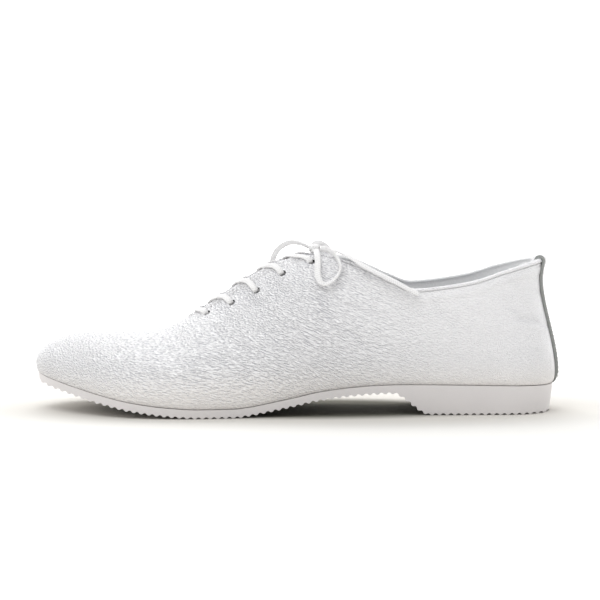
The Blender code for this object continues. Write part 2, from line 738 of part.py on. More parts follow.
def make_bow(cord):
    bm = bmesh.new()
    shape = Matrix.LocRotScale(Vector(KNOT_PLACE) * MM, None, Vector(KNOT_SIZE) * MM)
    bmesh.ops.create_uvsphere(bm, u_segments=12, v_segments=8, radius=0.5, matrix=shape)
    mesh = bpy.data.meshes.new("lace_knot")
    bm.to_mesh(mesh)
    bm.free()
    mesh.shade_smooth()
    add("lace_knot", mesh, cord)
    for name, route in BOW_ROUTES.items():
        make_cord(name, route, cord)


def main():
    for made in list(bpy.data.objects):
        bpy.data.objects.remove(made)
    white_leather = material("white leather", (0.80, 0.78, 0.75), 0.5)
    rubber = material("off white rubber", (0.60, 0.58, 0.56), 0.6)
    lining = material("grey lining", (0.42, 0.43, 0.46), 0.9)
    cord = material("white lace", (0.82, 0.80, 0.77), 0.8)
    make_outsole(rubber)
    make_insole(lining)
    make_upper(white_leather)
    make_tongue(white_leather)
    make_binding(white_leather)
    make_back_strap(white_leather)
    make_laces(cord)
    make_bow(cord)


main()
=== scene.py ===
# %% [markdown]
# # A white leather jazz shoe
#
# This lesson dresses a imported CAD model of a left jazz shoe: a soft whole-cut leather upper that
# laces over a tongue, on one piece of rippled rubber with a low heel. The frame gives the solids
# in metres. The toe points along -X, up is +Z, and the outer side of the shoe is at -Y.

import json
import math

import bmesh
import bpy
import numpy as np
from mathutils import Matrix, Vector

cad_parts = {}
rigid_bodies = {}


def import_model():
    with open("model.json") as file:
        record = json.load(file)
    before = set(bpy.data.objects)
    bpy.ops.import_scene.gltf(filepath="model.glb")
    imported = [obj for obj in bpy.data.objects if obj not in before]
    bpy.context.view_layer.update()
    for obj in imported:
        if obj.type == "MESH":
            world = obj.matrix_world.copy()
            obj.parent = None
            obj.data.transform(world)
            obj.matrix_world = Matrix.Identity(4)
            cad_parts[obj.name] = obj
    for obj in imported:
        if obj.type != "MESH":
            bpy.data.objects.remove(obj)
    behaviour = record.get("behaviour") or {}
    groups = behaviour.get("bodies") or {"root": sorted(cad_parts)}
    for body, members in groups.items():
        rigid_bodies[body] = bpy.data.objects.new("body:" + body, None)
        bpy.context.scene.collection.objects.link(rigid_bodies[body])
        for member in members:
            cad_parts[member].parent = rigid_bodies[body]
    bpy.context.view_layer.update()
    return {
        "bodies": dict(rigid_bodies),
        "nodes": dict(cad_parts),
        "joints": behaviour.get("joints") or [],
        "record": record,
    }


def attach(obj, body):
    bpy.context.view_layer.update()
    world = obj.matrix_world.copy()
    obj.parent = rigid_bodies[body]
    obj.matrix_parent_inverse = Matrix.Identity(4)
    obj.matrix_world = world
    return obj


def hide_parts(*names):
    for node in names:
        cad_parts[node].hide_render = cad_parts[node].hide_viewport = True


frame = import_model()
scene = bpy.context.scene
MM = 0.001
print("nodes:", ", ".join(sorted(frame["nodes"])))

# %% [markdown]
# ## Camera
#
# The photograph looks squarely at the shoe's outer side from far away, a few degrees above the
# floor. A long lens at the same distance keeps the same small amount of perspective, so that the
# far side of the collar shows above the near one by the right amount.

# %% Camera
CAMERA_DISTANCE = 1300 * MM
CAMERA_RISE = math.radians(5)
CAMERA_TARGET = Vector((-91, 0, 52.2)) * MM
PIXEL_SIZE = 0.4792 * MM
IMAGE_WIDTH = 600
SENSOR = 36

camera_data = bpy.data.cameras.new("camera")
camera_data.sensor_width = SENSOR
camera_data.lens = SENSOR * CAMERA_DISTANCE / (PIXEL_SIZE * IMAGE_WIDTH)
camera_data.clip_end = 10
camera = bpy.data.objects.new("camera", camera_data)
way_back = Vector((0, -math.cos(CAMERA_RISE), math.sin(CAMERA_RISE)))
camera.location = CAMERA_TARGET + way_back * CAMERA_DISTANCE
camera.rotation_euler = way_back.to_track_quat("Z", "Y").to_euler()
scene.collection.objects.link(camera)
scene.camera = camera
print(f"lens {camera_data.lens:.1f} mm")

# %% [markdown]
# ## Sizes of the shoe
#
# The frame holds coarse solids. The scene makes its own smoother pieces from the same sizes and
# the same short tables, so that every piece lies where its solid lies.

# %% Sizes
SOLE_LENGTH = 247 * MM
HEEL_BACK = 30 * MM
BALL_WIDTH = 82 * MM
TOE_SWING = 7 * MM
TOE_ROUND, TOE_POWER = 60 * MM, 2.55
HEEL_ROUND, HEEL_POWER = 28 * MM, 2.6
SOLE_THICKNESS = 4.2 * MM
ARCH_RISE = 10 * MM
TOE_SPRING = 14.2 * MM
HEEL_LENGTH = 61 * MM
BREAST_RUN = 15.6 * MM
SIDE_SLOPE = 0.12
RIPPLE_PITCH = 3.6 * MM
RIPPLE_DEPTH = 0.8 * MM
LEATHER = 1.4 * MM
GAP = 0.1 * MM
FEATHER_INSET = 1.8 * MM
ROLL_OUT, ROLL_UP, ROLL_FLAT = 2.9 * MM, 5.1 * MM, 1.5
INSTEP_HEIGHT = 76 * MM
BACK_HEIGHT = 70.5 * MM
COLLAR_WIDTH = 55 * MM
THROAT_GAP = 16 * MM
HOLE_DIAMETER = 3.4 * MM
HOLE_FIRST, HOLE_PITCH = 1.4 * MM, 14.2 * MM
HOLE_EDGES = (6 * MM, 9.8 * MM, 12.4 * MM, 10.9 * MM, 8.4 * MM)
LACE, LACE_FLAT = 2.9 * MM, 1.1 * MM
STEP = 1e-3

SOLE_COLUMNS = ("along", "lateral", "medial", "swing", "arch", "spring")
SOLE_TABLE = (
    (0.000, 0.311, 0.311, 0.00, 0.90, 0.00),
    (0.100, 0.327, 0.320, 0.00, 0.96, 0.00),
    (0.200, 0.333, 0.317, 0.00, 1.00, 0.00),
    (0.290, 0.337, 0.300, 0.00, 1.02, 0.00),
    (0.350, 0.345, 0.289, 0.00, 0.98, 0.00),
    (0.405, 0.358, 0.288, 0.00, 0.87, 0.00),
    (0.454, 0.378, 0.296, 0.00, 0.71, 0.00),
    (0.502, 0.402, 0.314, 0.00, 0.46, 0.00),
    (0.550, 0.432, 0.342, 0.00, 0.23, 0.00),
    (0.590, 0.456, 0.370, 0.00, 0.06, 0.00),
    (0.615, 0.470, 0.388, 0.00, 0.00, 0.00),
    (0.680, 0.506, 0.437, 0.02, 0.00, 0.00),
    (0.740, 0.521, 0.475, 0.10, 0.00, 0.06),
    (0.809, 0.512, 0.488, 0.28, 0.00, 0.205),
    (0.868, 0.472, 0.476, 0.50, 0.00, 0.400),
    (0.920, 0.424, 0.446, 0.72, 0.00, 0.605),
    (0.965, 0.380, 0.410, 0.90, 0.00, 0.790),
    (1.000, 0.350, 0.378, 1.00, 0.00, 0.950),
)
UPPER_COLUMNS = ("foot", "top", "gap", "collar", "instep", "back",
                 "heading", "dip", "high", "flare_lateral", "flare_medial", "low")
UPPER_TABLE = (
    (1.000, 0.894, 0.00, 0.00, 0.487, 0.000, 0, 3, 0.44, 0, 0, 0.24),
    (0.985, 0.894, 0.00, 0.00, 0.487, 0.000, 32, 3, 0.44, 1, 1, 0.25),
    (0.950, 0.894, 0.00, 0.00, 0.487, 0.000, 62, 2, 0.45, 2, 2, 0.26),
    (0.895, 0.894, 0.00, 0.00, 0.487, 0.000, 90, 0, 0.46, 3, 3, 0.28),
    (0.820, 0.830, 0.00, 0.00, 0.495, 0.000, 90, 0, 0.46, 4, 4, 0.28),
    (0.750, 0.776, 0.00, 0.00, 0.505, 0.000, 90, 0, 0.44, 5, 4, 0.29),
    (0.700, 0.738, 0.00, 0.00, 0.532, 0.000, 90, 0, 0.42, 5, 4, 0.30),
    (0.665, 0.706, 0.00, 0.00, 0.590, 0.000, 90, 0, 0.40, 5, 5, 0.31),
    (0.650, 0.697, 0.30, 0.00, 0.606, 0.000, 90, 6, 0.39, 5, 6, 0.31),
    (0.612, 0.656, 0.42, 0.00, 0.690, 0.000, 90, 20, 0.36, 5, 9, 0.32),
    (0.560, 0.590, 0.62, 0.00, 0.836, 0.000, 90, 32, 0.32, 6, 14, 0.33),
    (0.500, 0.520, 0.82, 0.00, 0.949, 0.000, 90, 27, 0.32, 8, 18, 0.34),
    (0.450, 0.463, 1.00, 0.00, 0.978, 0.000, 92, 20, 0.32, 9, 20, 0.34),
    (0.385, 0.385, 0.00, 0.66, 0.917, 0.000, 96, 58, 0.30, 9, 20, 0.34),
    (0.318, 0.318, 0.00, 0.88, 0.000, 0.879, 95, 76, 0.30, 8, 15, 0.34),
    (0.250, 0.270, 0.00, 0.98, 0.000, 0.823, 92, 82, 0.30, 7, 10, 0.34),
    (0.170, 0.168, 0.00, 0.96, 0.000, 0.868, 90, 83, 0.30, 6, 7, 0.34),
    (0.092, 0.096, 0.00, 0.82, 0.000, 0.942, 104, 88, 0.30, 3, 4, 0.33),
    (0.030, 0.042, 0.00, 0.49, 0.000, 0.988, 135, 97, 0.30, 1, 1, 0.32),
    (0.000, 0.0207, 0.00, 0.00, 0.000, 1.000, 180, 104, 0.30, 0, 0, 0.32),
)
ROWS = len(UPPER_TABLE) - 1
RING = 2 * ROWS
THROAT_BASE, THROAT_TOP = 7, 12

# %% [markdown]
# ## Sums for points and tables
#
# A table's few rows are joined by a monotone cubic: it passes through each value and never swings
# past it, which a plain spline would do. It is what keeps the leather free of bulges between rows.

# %% Sums


def clamp(value):
    return min(max(value, 0.0), 1.0)


def unit(vectors):
    """A vector, or rows of them, made one unit long."""
    return vectors / np.linalg.norm(vectors, axis=-1, keepdims=True)


def run_lengths(points):
    """How far along a line each of its points lies."""
    return np.append(0, np.cumsum(np.linalg.norm(np.diff(points, axis=0), axis=1)))


def at_lengths(wanted, lengths, table):
    """The rows of a table at some lengths along it."""
    return np.stack([np.interp(wanted, lengths, part) for part in np.transpose(table)], axis=-1)


def bezier(start, leave, arrive, end, t):
    """A cubic between two ends, each with its handle."""
    return (start * (1 - t) ** 3 + leave * 3 * t * (1 - t) ** 2 + arrive * 3 * t * t * (1 - t)
            + end * t**3)


class Track:
    """A smooth line through a table's values that never swings past them."""

    def __init__(self, places, values):
        self.places = np.array(places, float)
        self.values = np.array(values, float)
        runs = np.diff(self.places)
        rates = np.diff(self.values) / runs
        self.slopes = np.zeros(len(self.places))
        for i in range(1, len(self.places) - 1):
            before, after = rates[i - 1], rates[i]
            if before * after > 0:
                first = 2 * runs[i] + runs[i - 1]
                second = runs[i] + 2 * runs[i - 1]
                self.slopes[i] = (first + second) / (first / before + second / after)
        self.slopes[0], self.slopes[-1] = rates[0], rates[-1]

    def __call__(self, at):
        at = min(max(at, self.places[0]), self.places[-1])
        i = min(int(np.searchsorted(self.places, at, "right")) - 1, len(self.places) - 2)
        run = self.places[i + 1] - self.places[i]
        t = (at - self.places[i]) / run
        return float(
            self.values[i] * (1 + 2 * t) * (1 - t) ** 2
            + self.values[i + 1] * t * t * (3 - 2 * t)
            + self.slopes[i] * run * t * (1 - t) ** 2
            - self.slopes[i + 1] * run * t * t * (1 - t)
        )


def column(table, names, name):
    return [row[names.index(name)] for row in table]


SOLE = {
    name: Track(column(SOLE_TABLE, SOLE_COLUMNS, "along"), column(SOLE_TABLE, SOLE_COLUMNS, name))
    for name in SOLE_COLUMNS[1:]
}


def along_of(x):
    return clamp((HEEL_BACK - x) / SOLE_LENGTH)


def underside(x):
    along = along_of(x)
    return SOLE["arch"](along) * ARCH_RISE + SOLE["spring"](along) * TOE_SPRING


def sole_top(x):
    return underside(x) + SOLE_THICKNESS


def tread_line(x):
    """Height of the ripple crests: on the floor under the heel, then up the breast."""
    share = clamp((HEEL_BACK - HEEL_LENGTH - x) / BREAST_RUN)
    soft = share * share * (3 - 2 * share)
    return underside(x) * (share + soft) / 2


def centre_line(along):
    return SOLE["swing"](along) * TOE_SWING


def round_end(distance, length, power):
    if distance >= length:
        return 1.0
    return (1 - (1 - distance / length) ** power) ** (1 / power)


def edge_point(turn):
    """The sole's edge in plan, from 0 at the toe by the outer side to 1 at the heel and back."""
    turn = turn % 2
    along = (1 + math.cos(math.pi * turn)) / 2
    side, name = (-1, "lateral") if turn < 1 else (1, "medial")
    half = SOLE[name](along) * BALL_WIDTH
    half *= round_end(along * SOLE_LENGTH, HEEL_ROUND, HEEL_POWER)
    half *= round_end((1 - along) * SOLE_LENGTH, TOE_ROUND, TOE_POWER)
    return np.array([HEEL_BACK - along * SOLE_LENGTH, centre_line(along) + side * half])


def edge_out(turn):
    way = unit(edge_point(turn + STEP) - edge_point(turn - STEP))
    return np.array([way[1], -way[0]])


def edge_inset(turn, inset):
    return edge_point(turn) - edge_out(turn) * inset


# %% [markdown]
# ## The leather's own surface
#
# A shoemaker pulls one piece of leather over a last. Here section lines stand in for the last: each
# rises from the sole, rolls out over its edge and follows a Bezier curve to the top line. Where the
# two sides share a top line they close into the vamp, and further back they part at the throat.

# %% Upper surface


def around(lateral, medial, jump=0.0):
    """A track right round the shoe, from the toe by the outer side to the heel and back."""
    values = [medial[1] - jump, *lateral, *reversed(medial[:-1]), lateral[1] + jump]
    return Track(range(-1, RING + 2), values)


def upper_column(name):
    return np.array(column(UPPER_TABLE, UPPER_COLUMNS, name), float)


TURN = np.arccos(2 * upper_column("foot") - 1) / math.pi
TOP_X = HEEL_BACK - upper_column("top") * SOLE_LENGTH
TOP_HALF = upper_column("gap") * THROAT_GAP / 2 + upper_column("collar") * COLLAR_WIDTH / 2
TOP_Z = upper_column("instep") * INSTEP_HEIGHT + upper_column("back") * BACK_HEIGHT
HEADING = upper_column("heading")
UPPER = {
    "turn": around(TURN, 2 - TURN, 2),
    "x": around(TOP_X, TOP_X),
    "half": around(-TOP_HALF, TOP_HALF),
    "z": around(TOP_Z, TOP_Z),
    "heading": around(HEADING, 360 - HEADING, 360),
    "flare": around(upper_column("flare_lateral"), upper_column("flare_medial")),
    **{name: around(upper_column(name), upper_column(name)) for name in ("dip", "high", "low")},
}


def top_point(line):
    x = UPPER["x"](line)
    return np.array([x, centre_line(along_of(x)) + UPPER["half"](line), UPPER["z"](line)])


def section(line, rises):
    """Points of the outer face on one section line. A rise runs from 0 at the sole to 1 at the
    top of the rolled foot, and on to 2 at the top line."""
    line = line % RING
    rises = np.asarray(rises, float)
    turn = UPPER["turn"](line)
    out = np.append(edge_out(turn), 0.0)
    foot = np.append(edge_inset(turn, FEATHER_INSET), 0.0)
    foot[2] = sole_top(foot[0]) + GAP
    flare = math.radians(UPPER["flare"](line))
    last = math.atan2(ROLL_OUT, ROLL_UP * math.tan(flare))
    swings = np.minimum(rises, 1.0) * last
    rolled = foot + np.outer(np.sin(swings), out) * ROLL_OUT
    full = 1 - math.cos(last)
    rolled[:, 2] += ROLL_UP * full * ((1 - np.cos(swings)) / full) ** ROLL_FLAT
    start = foot + out * ROLL_OUT * math.sin(last) + np.array([0, 0, ROLL_UP * full])
    top = top_point(line)
    chord = np.linalg.norm(top - start)
    heading, dip = math.radians(UPPER["heading"](line)), math.radians(UPPER["dip"](line))
    down = np.array([-math.cos(heading) * math.cos(dip), -math.sin(heading) * math.cos(dip),
                     -math.sin(dip)])
    up = out * math.sin(flare) + np.array([0, 0, math.cos(flare)])
    leave = start + up * UPPER["low"](line) * chord
    arrive = top + down * UPPER["high"](line) * chord
    wall = bezier(start, leave, arrive, top, np.clip(rises - 1, 0, 1)[:, None])
    return np.where(rises[:, None] <= 1, rolled, wall)


def skin(line, rise):
    return section(line, [rise])[0]


def skin_frame(line, rise):
    """A point of the outer face, the way out of it and the way up along its section line."""
    rise = min(max(rise, STEP), 2 - STEP)
    below, here, above = section(line, [rise - STEP, rise, rise + STEP])
    up = above - below
    return here, unit(np.cross(skin(line + STEP, rise) - skin(line - STEP, rise), up)), unit(up)


def rise_below(line, distance):
    """The rise that lies a distance down the leather from the top line."""
    rises = np.linspace(2, 1, 60)
    return float(np.interp(distance, run_lengths(section(line, rises)), rises))


def throat_line(distance):
    """The outer section line whose top lies a distance down the throat's edge from its top."""
    lines = np.linspace(THROAT_TOP, THROAT_BASE, 60)
    return float(np.interp(distance, run_lengths([top_point(line) for line in lines]), lines))


print("instep top", top_point(THROAT_TOP).round(4), "heel top", top_point(ROWS).round(4))

# %% [markdown]
# ## Shader maths as plain sums
#
# A leather grain is a sum of patterns, and a node graph of Math nodes is hard to read. The class
# Wire wraps one output socket, and the signs + - * / between wires add the Math nodes, so that a
# finish reads as a formula.

# %% Shader helpers


class Wire:
    """A number or vector that changes over the surface, as one output socket."""

    def __init__(self, finish, socket):
        self.finish = finish
        self.socket = socket

    def math(self, operation, *others):
        inputs = dict(enumerate((self, *others)))
        return self.finish.node("ShaderNodeMath", {"operation": operation}, inputs)

    def __add__(self, other):
        return self.math("ADD", other)

    def __sub__(self, other):
        return self.math("SUBTRACT", other)

    def __rsub__(self, other):
        return (self * -1) + other

    def __mul__(self, other):
        return self.math("MULTIPLY", other)

    def __truediv__(self, other):
        return self.math("DIVIDE", other)

    def __pow__(self, other):
        return self.math("POWER", other)

    __radd__ = __add__
    __rmul__ = __mul__

    def sine(self):
        return self.math("SINE")

    def above(self, low, high):
        """0 below low, 1 above high and smooth between."""
        settings = {"interpolation_type": "SMOOTHSTEP"}
        return self.finish.node("ShaderNodeMapRange", settings, {0: self, 1: low, 2: high})


class Finish:
    """A material whose nodes are written as formulas."""

    def __init__(self, name, **shader):
        self.material = bpy.data.materials.new(name)
        self.material.use_nodes = True
        self.tree = self.material.node_tree
        self.shader = self.tree.nodes["Principled BSDF"]
        for socket, value in shader.items():
            self.feed(self.shader.inputs[socket.replace("_", " ")], value)

    def feed(self, socket, value):
        if isinstance(value, Wire):
            self.tree.links.new(value.socket, socket)
        else:
            socket.default_value = value

    def node(self, kind, settings=None, inputs=None, output=0):
        made = self.tree.nodes.new(kind)
        for name, value in (settings or {}).items():
            setattr(made, name, value)
        for name, value in (inputs or {}).items():
            self.feed(made.inputs[name], value)
        return Wire(self, made.outputs[output])

    def place(self):
        """Object coordinates, which are the shoe's own frame in metres."""
        return self.node("ShaderNodeTexCoord", output="Object")

    def parts(self, vector):
        """The three parts of a vector."""
        made = self.tree.nodes.new("ShaderNodeSeparateXYZ")
        self.feed(made.inputs[0], vector)
        return [Wire(self, made.outputs[i]) for i in range(3)]

    def axes(self, vector):
        """The three parts of a place, in millimetres."""
        return [part * 1000 for part in self.parts(vector)]

    def joined(self, x, y, z):
        return self.node("ShaderNodeCombineXYZ", None, {0: x, 1: y, 2: z})

    def noise(self, vector, scale, detail=2.0, roughness=0.5):
        inputs = {"Vector": vector, "Scale": scale, "Detail": detail, "Roughness": roughness}
        return self.node("ShaderNodeTexNoise", None, inputs, "Fac")

    def cells(self, vector, scale):
        return self.node("ShaderNodeTexVoronoi", {"feature": "DISTANCE_TO_EDGE"},
                         {"Vector": vector, "Scale": scale}, "Distance")

    def mix(self, share, *colours):
        """A colour between two others, each a wire or its red, green and blue."""
        first, second = (colour if isinstance(colour, Wire) else (*colour, 1)
                         for colour in colours)
        inputs = {0: share, 6: first, 7: second}
        return self.node("ShaderNodeMix", {"data_type": "RGBA"}, inputs, 2)

    def set(self, socket, value):
        self.feed(self.shader.inputs[socket], value)

    def look(self, colour, roughness, height, depth):
        """Sets what all finishes have, small relief included, and gives the material."""
        inputs = {"Strength": 1.0, "Distance": depth, "Height": height}
        self.set("Normal", self.node("ShaderNodeBump", None, inputs))
        self.set("Base Color", colour)
        self.set("Roughness", roughness)
        return self.material


# %% [markdown]
# ## Leather
#
# Drum-dyed sheep leather has an elongated grain: soft ridges a millimetre apart that run along
# the vamp and turn down over the instep, and shorter ones towards the heel. A noise stretched
# along the hide gives the ridges, and a Voronoi pattern breaks them into pebbles. Both are bent by
# a slope that swings along the shoe. White light from all around hides relief this fine, so the
# colour carries painted light: a painted highlight on each ridge's upper flank, painted shade on
# its lower flank and in the pressed creases, and a warm painted floor bounce low on the sides.

# %% Leather
GRAIN_ACROSS = 0.6
GRAIN_ALONG = 2.3
GRAIN_SLOPE = 0.30
GRAIN_SWING = 0.12
GRAIN_WAVE = 2 * math.pi / 120
GRAIN_BEND, BEND_SCALE = (0.6, 0.8, 0.8), 210
GRAIN_SHORTER, SHORTER_FROM = 0.35, -45
PEBBLES, SMALL_CELLS, PORES, PATCHES = 0.62, 1150, 3200, 38
GRAIN_DEPTH = 0.55 * MM
FLANK, FLANK_CONTRAST = 0.38, 4.2
HIDE, HIDE_SHADE = (0.80, 0.795, 0.805), (0.50, 0.50, 0.53)
HIDE_WARM_BOUNCE, HIDE_LIT = (0.85, 0.82, 0.795), (0.98, 0.98, 0.99)


def leather_finish():
    made = Finish("white_leather", Specular_IOR_Level=0.45, Coat_Weight=0.06,
                  Coat_Roughness=0.35, Subsurface_Weight=0.0)
    place = made.place()
    x, y, z = made.axes(place)
    wander = made.node("ShaderNodeTexNoise", None,
                       {"Vector": place, "Scale": BEND_SCALE, "Detail": 2.0}, "Color")
    bend = [(part - 0.5) * amount for part, amount in zip(made.parts(wander), GRAIN_BEND)]
    turned = z + x * GRAIN_SLOPE + ((x + 200) * GRAIN_WAVE).sine() * (GRAIN_SWING / GRAIN_WAVE)
    length = x * (1 / GRAIN_ALONG) + (x - SHORTER_FROM).math("MAXIMUM", 0.0) * GRAIN_SHORTER

    def grain_at(lift):
        """The grain's own coordinates, as seen a little higher up the hide."""
        return made.joined(length + bend[0], (turned + lift) * (1 / GRAIN_ACROSS) + bend[1],
                           y * (1 / GRAIN_ACROSS) + bend[2])

    wave, wave_above = (made.noise(grain_at(lift), 1.0, 1.0, 0.4) for lift in (0.0, FLANK))
    # Painted light: the height here minus the height a little up the hide gives a painted highlight
    # on each ridge's upper flank and painted shade below it.
    lit = (wave - wave_above) * FLANK_CONTRAST
    pebbles = made.cells(grain_at(0.0), PEBBLES).above(0.0, 0.3)
    ridges = wave.above(0.34, 0.64) * 0.8 + pebbles * 0.2
    # The creases' depth, which the colour turns into painted shade.
    hollow = made.node("ShaderNodeAttribute", {"attribute_name": "hollow"}, None, "Fac")
    small = made.cells(place, SMALL_CELLS).above(0.0, 0.35)
    pores = made.noise(place, PORES, 3.0, 0.6)
    patches = made.noise(place, PATCHES, 2.0)
    strength = (x * -1).above(5, 95) * 0.76 + 0.2
    strength = strength * (z.above(3, 28) * 0.6 + 0.4) * (patches * 0.5 + 0.75)
    # Painted reflection: warm light bounced off the floor is painted on the hide low down, near the
    # sole.
    low = 1 - (z - x.above(-190, -120) * 2).above(8, 26)
    tone = made.mix(low, HIDE, HIDE_WARM_BOUNCE)
    # Painted shade: each ridge's lower flank and the pressed creases are painted greyer.
    tone = made.mix(lit * strength * -1 + hollow * 0.5, tone, HIDE_SHADE)
    height = ridges * strength + small * (0.26 - strength * 0.16) + pores * 0.08
    # Painted highlight: the upper flank of each ridge is painted lighter.
    return made.look(made.mix(lit * strength, tone, HIDE_LIT),
                     0.36 + pores * 0.12 + patches * 0.08, height, GRAIN_DEPTH)


white_leather = leather_finish()
print("leather:", len(white_leather.node_tree.nodes), "nodes")

# %% [markdown]
# ## Flesh side, cut edge, canvas, rubber, thread and lace
#
# The inside of unlined leather is its napped flesh side, grey and without gloss. A cut edge shows
# the grey core of the hide. The sole is dense moulded rubber, and the lace is a flat cotton weave.

# %% Other finishes
CANVAS_PITCH, THREAD_PITCH = 0.9, 0.35


def flesh_finish(name, dark, light):
    made = Finish(name, Specular_IOR_Level=0.1)
    place = made.place()
    nap = made.noise(place, 900, 4.0, 0.7)
    blotch = made.noise(place, 120, 2.0)
    tone = made.mix(nap * 0.7 + blotch * 0.6 - 0.15, dark, light)
    return made.look(tone, 0.88 + nap * 0.1, nap + blotch * 0.4, 0.35 * MM)


def edge_finish(name, dark, light):
    made = Finish(name, Specular_IOR_Level=0.2)
    fibres = made.noise(made.place(), 1500, 3.0, 0.7)
    return made.look(made.mix(fibres, dark, light), 0.8 + fibres * 0.15, fibres, 0.15 * MM)


def rubber_finish():
    made = Finish("off_white_rubber", Specular_IOR_Level=0.4)
    place = made.place()
    x, y, z = made.axes(place)
    speck = made.noise(place, 2200, 3.0, 0.6)
    cloud = made.noise(place, 45, 3.0)
    scuffs = made.noise(made.joined(x * 0.09, y * 0.4, z * 1.5), 1.0, 4.0, 0.7)
    worn = (1 - z.above(0.0, 1.2)) * scuffs
    tone = made.mix(cloud, (0.72, 0.695, 0.69), (0.78, 0.755, 0.75))
    return made.look(made.mix(worn * 0.5, tone, (0.50, 0.48, 0.45)),
                     0.52 + speck * 0.16 + worn * 0.1, speck * 0.5 + scuffs * 0.35, 0.12 * MM)


def canvas_finish():
    made = Finish("grey_lining", Specular_IOR_Level=0.15)
    place = made.place()
    x, y, _ = made.axes(place)
    warp, weft = ((part * (2 * math.pi / CANVAS_PITCH)).sine() for part in (x, y))
    weave = (warp * weft) * 0.5 + 0.5
    fuzz = made.noise(place, 1800, 3.0, 0.7)
    wear = made.noise(place, 30, 3.0)
    tone = made.mix(wear, (0.44, 0.45, 0.48), (0.58, 0.585, 0.60))
    # Painted shade: the gaps between the yarns are painted darker.
    return made.look(made.mix((1 - weave) * 0.5, tone, (0.32, 0.33, 0.36)),
                     0.85 + fuzz * 0.1, weave + fuzz * 0.6, 0.18 * MM)


def lace_finish():
    """Two slanted sets of yarns, of which the higher one shows."""
    made = Finish("white_lace", Specular_IOR_Level=0.2, Sheen_Weight=0.2)
    uv = made.node("ShaderNodeUVMap", {"uv_map": "lace"}, None, "UV")
    along, across = made.parts(uv)[:2]
    one, other = (((along + across * slant) * (2 * math.pi)).sine() for slant in (0.8, -0.8))
    braid = one.math("MAXIMUM", other)
    fuzz = made.noise(made.place(), 2600, 3.0, 0.7)
    # Painted shade: the dips between the raised yarns are painted greyer.
    dip = 1 - braid.above(-0.2, 0.9)
    return made.look(made.mix(dip * 0.6, (0.85, 0.845, 0.84), (0.70, 0.69, 0.69)),
                     0.78 + fuzz * 0.15, braid * 0.7 + fuzz * 0.5, 0.12 * MM)


def thread_finish():
    made = Finish("white_thread", Specular_IOR_Level=0.35)
    x, y, z = made.axes(made.place())
    twist = ((x + y + z) * (2 * math.pi / THREAD_PITCH)).sine()
    # Painted light and shade: the twist's crests are painted lighter and its grooves darker.
    return made.look(made.mix(twist * 0.25 + 0.5, (0.74, 0.73, 0.73), (0.86, 0.85, 0.85)),
                     0.5 + twist * 0.08, twist, 0.05 * MM)


flesh_side = flesh_finish("flesh_side", (0.40, 0.41, 0.43), (0.66, 0.665, 0.67))
nap_side = flesh_finish("nap_side", (0.86, 0.865, 0.87), (0.99, 0.99, 0.99))
cut_edge = edge_finish("cut_edge", (0.20, 0.21, 0.20), (0.40, 0.41, 0.40))
# Painted shade: the punched holes' walls are near-black, standing for the dark depth of each hole.
painted_hole_shade = edge_finish("painted_hole_shade", (0.03, 0.03, 0.03), (0.10, 0.10, 0.10))
rubber = rubber_finish()
canvas = canvas_finish()
lace_weave = lace_finish()
thread = thread_finish()
print("finishes:", len(bpy.data.materials))

# %% [markdown]
# ## Small helpers for meshes
#
# Every piece ends as one mesh at the origin, with its place in its points, and rides on the only
# body. Most are skinned over rings or rows of points. A modifier is made real by taking the
# evaluated mesh.

# %% Mesh helpers
MERGE = 0.01 * MM


def add(name, mesh, *materials):
    made = bpy.data.objects.new(name, mesh)
    scene.collection.objects.link(made)
    for finish in materials:
        mesh.materials.append(finish)
    return made


def from_bmesh(name, bm, *materials, smooth=False):
    """A new object that uses the bmesh up, with all its faces turned outward."""
    bmesh.ops.recalc_face_normals(bm, faces=bm.faces)
    mesh = bpy.data.meshes.new(name)
    bm.to_mesh(mesh)
    bm.free()
    if smooth:
        mesh.shade_smooth()
    return add(name, mesh, *materials)


def loft(bm, rings, slots=None, capped=True):
    """Skins over rings of points and closes both ends. slots gives the material of each face
    round a ring."""
    rings = [[bm.verts.new(point) for point in ring] for ring in rings]
    for here, following in zip(rings, rings[1:]):
        for k, corner in enumerate(here):
            n = (k + 1) % len(here)
            face = bm.faces.new((corner, here[n], following[n], following[k]))
            face.material_index = slots[k] if slots else 0
    if capped:
        bm.faces.new(rings[0][::-1])
        bm.faces.new(rings[-1])
    return rings


def sheet_mesh(name, grid, closed=False, hollow=None):
    """A sheet from rows of points. Points in the same place become one. The depth of its
    creases, in millimetres, goes along as an attribute."""
    grid = np.asarray(grid)
    count, width = grid.shape[:2]
    faces = []
    for i in range(count if closed else count - 1):
        k = (i + 1) % count
        for j in range(width - 1):
            faces.append((i * width + j, k * width + j, k * width + j + 1, i * width + j + 1))
    mesh = bpy.data.meshes.new(name)
    mesh.from_pydata(grid.reshape(-1, 3).tolist(), [], faces)
    if hollow is not None:
        depths = mesh.attributes.new("hollow", "FLOAT", "POINT")
        # The leather's colour turns this depth into painted shade in the creases.
        depths.data.foreach_set("value", (hollow.ravel() / MM).astype(np.float32))
    bm = bmesh.new()
    bm.from_mesh(mesh)
    bmesh.ops.remove_doubles(bm, verts=bm.verts, dist=MERGE)
    bmesh.ops.dissolve_degenerate(bm, edges=bm.edges, dist=MERGE)
    bm.to_mesh(mesh)
    bm.free()
    mesh.shade_smooth()
    return mesh


def thicken(made, thickness, offset, inside=0, rim=0):
    wall = made.modifiers.new("Wall", "SOLIDIFY")
    wall.thickness = thickness
    wall.offset = offset
    wall.use_even_offset = True
    wall.material_offset = inside
    wall.material_offset_rim = rim


def evaluated_mesh(made):
    """What a piece's modifiers make of it."""
    bpy.context.view_layer.update()
    evaluated = made.evaluated_get(bpy.context.evaluated_depsgraph_get())
    return bpy.data.meshes.new_from_object(evaluated)


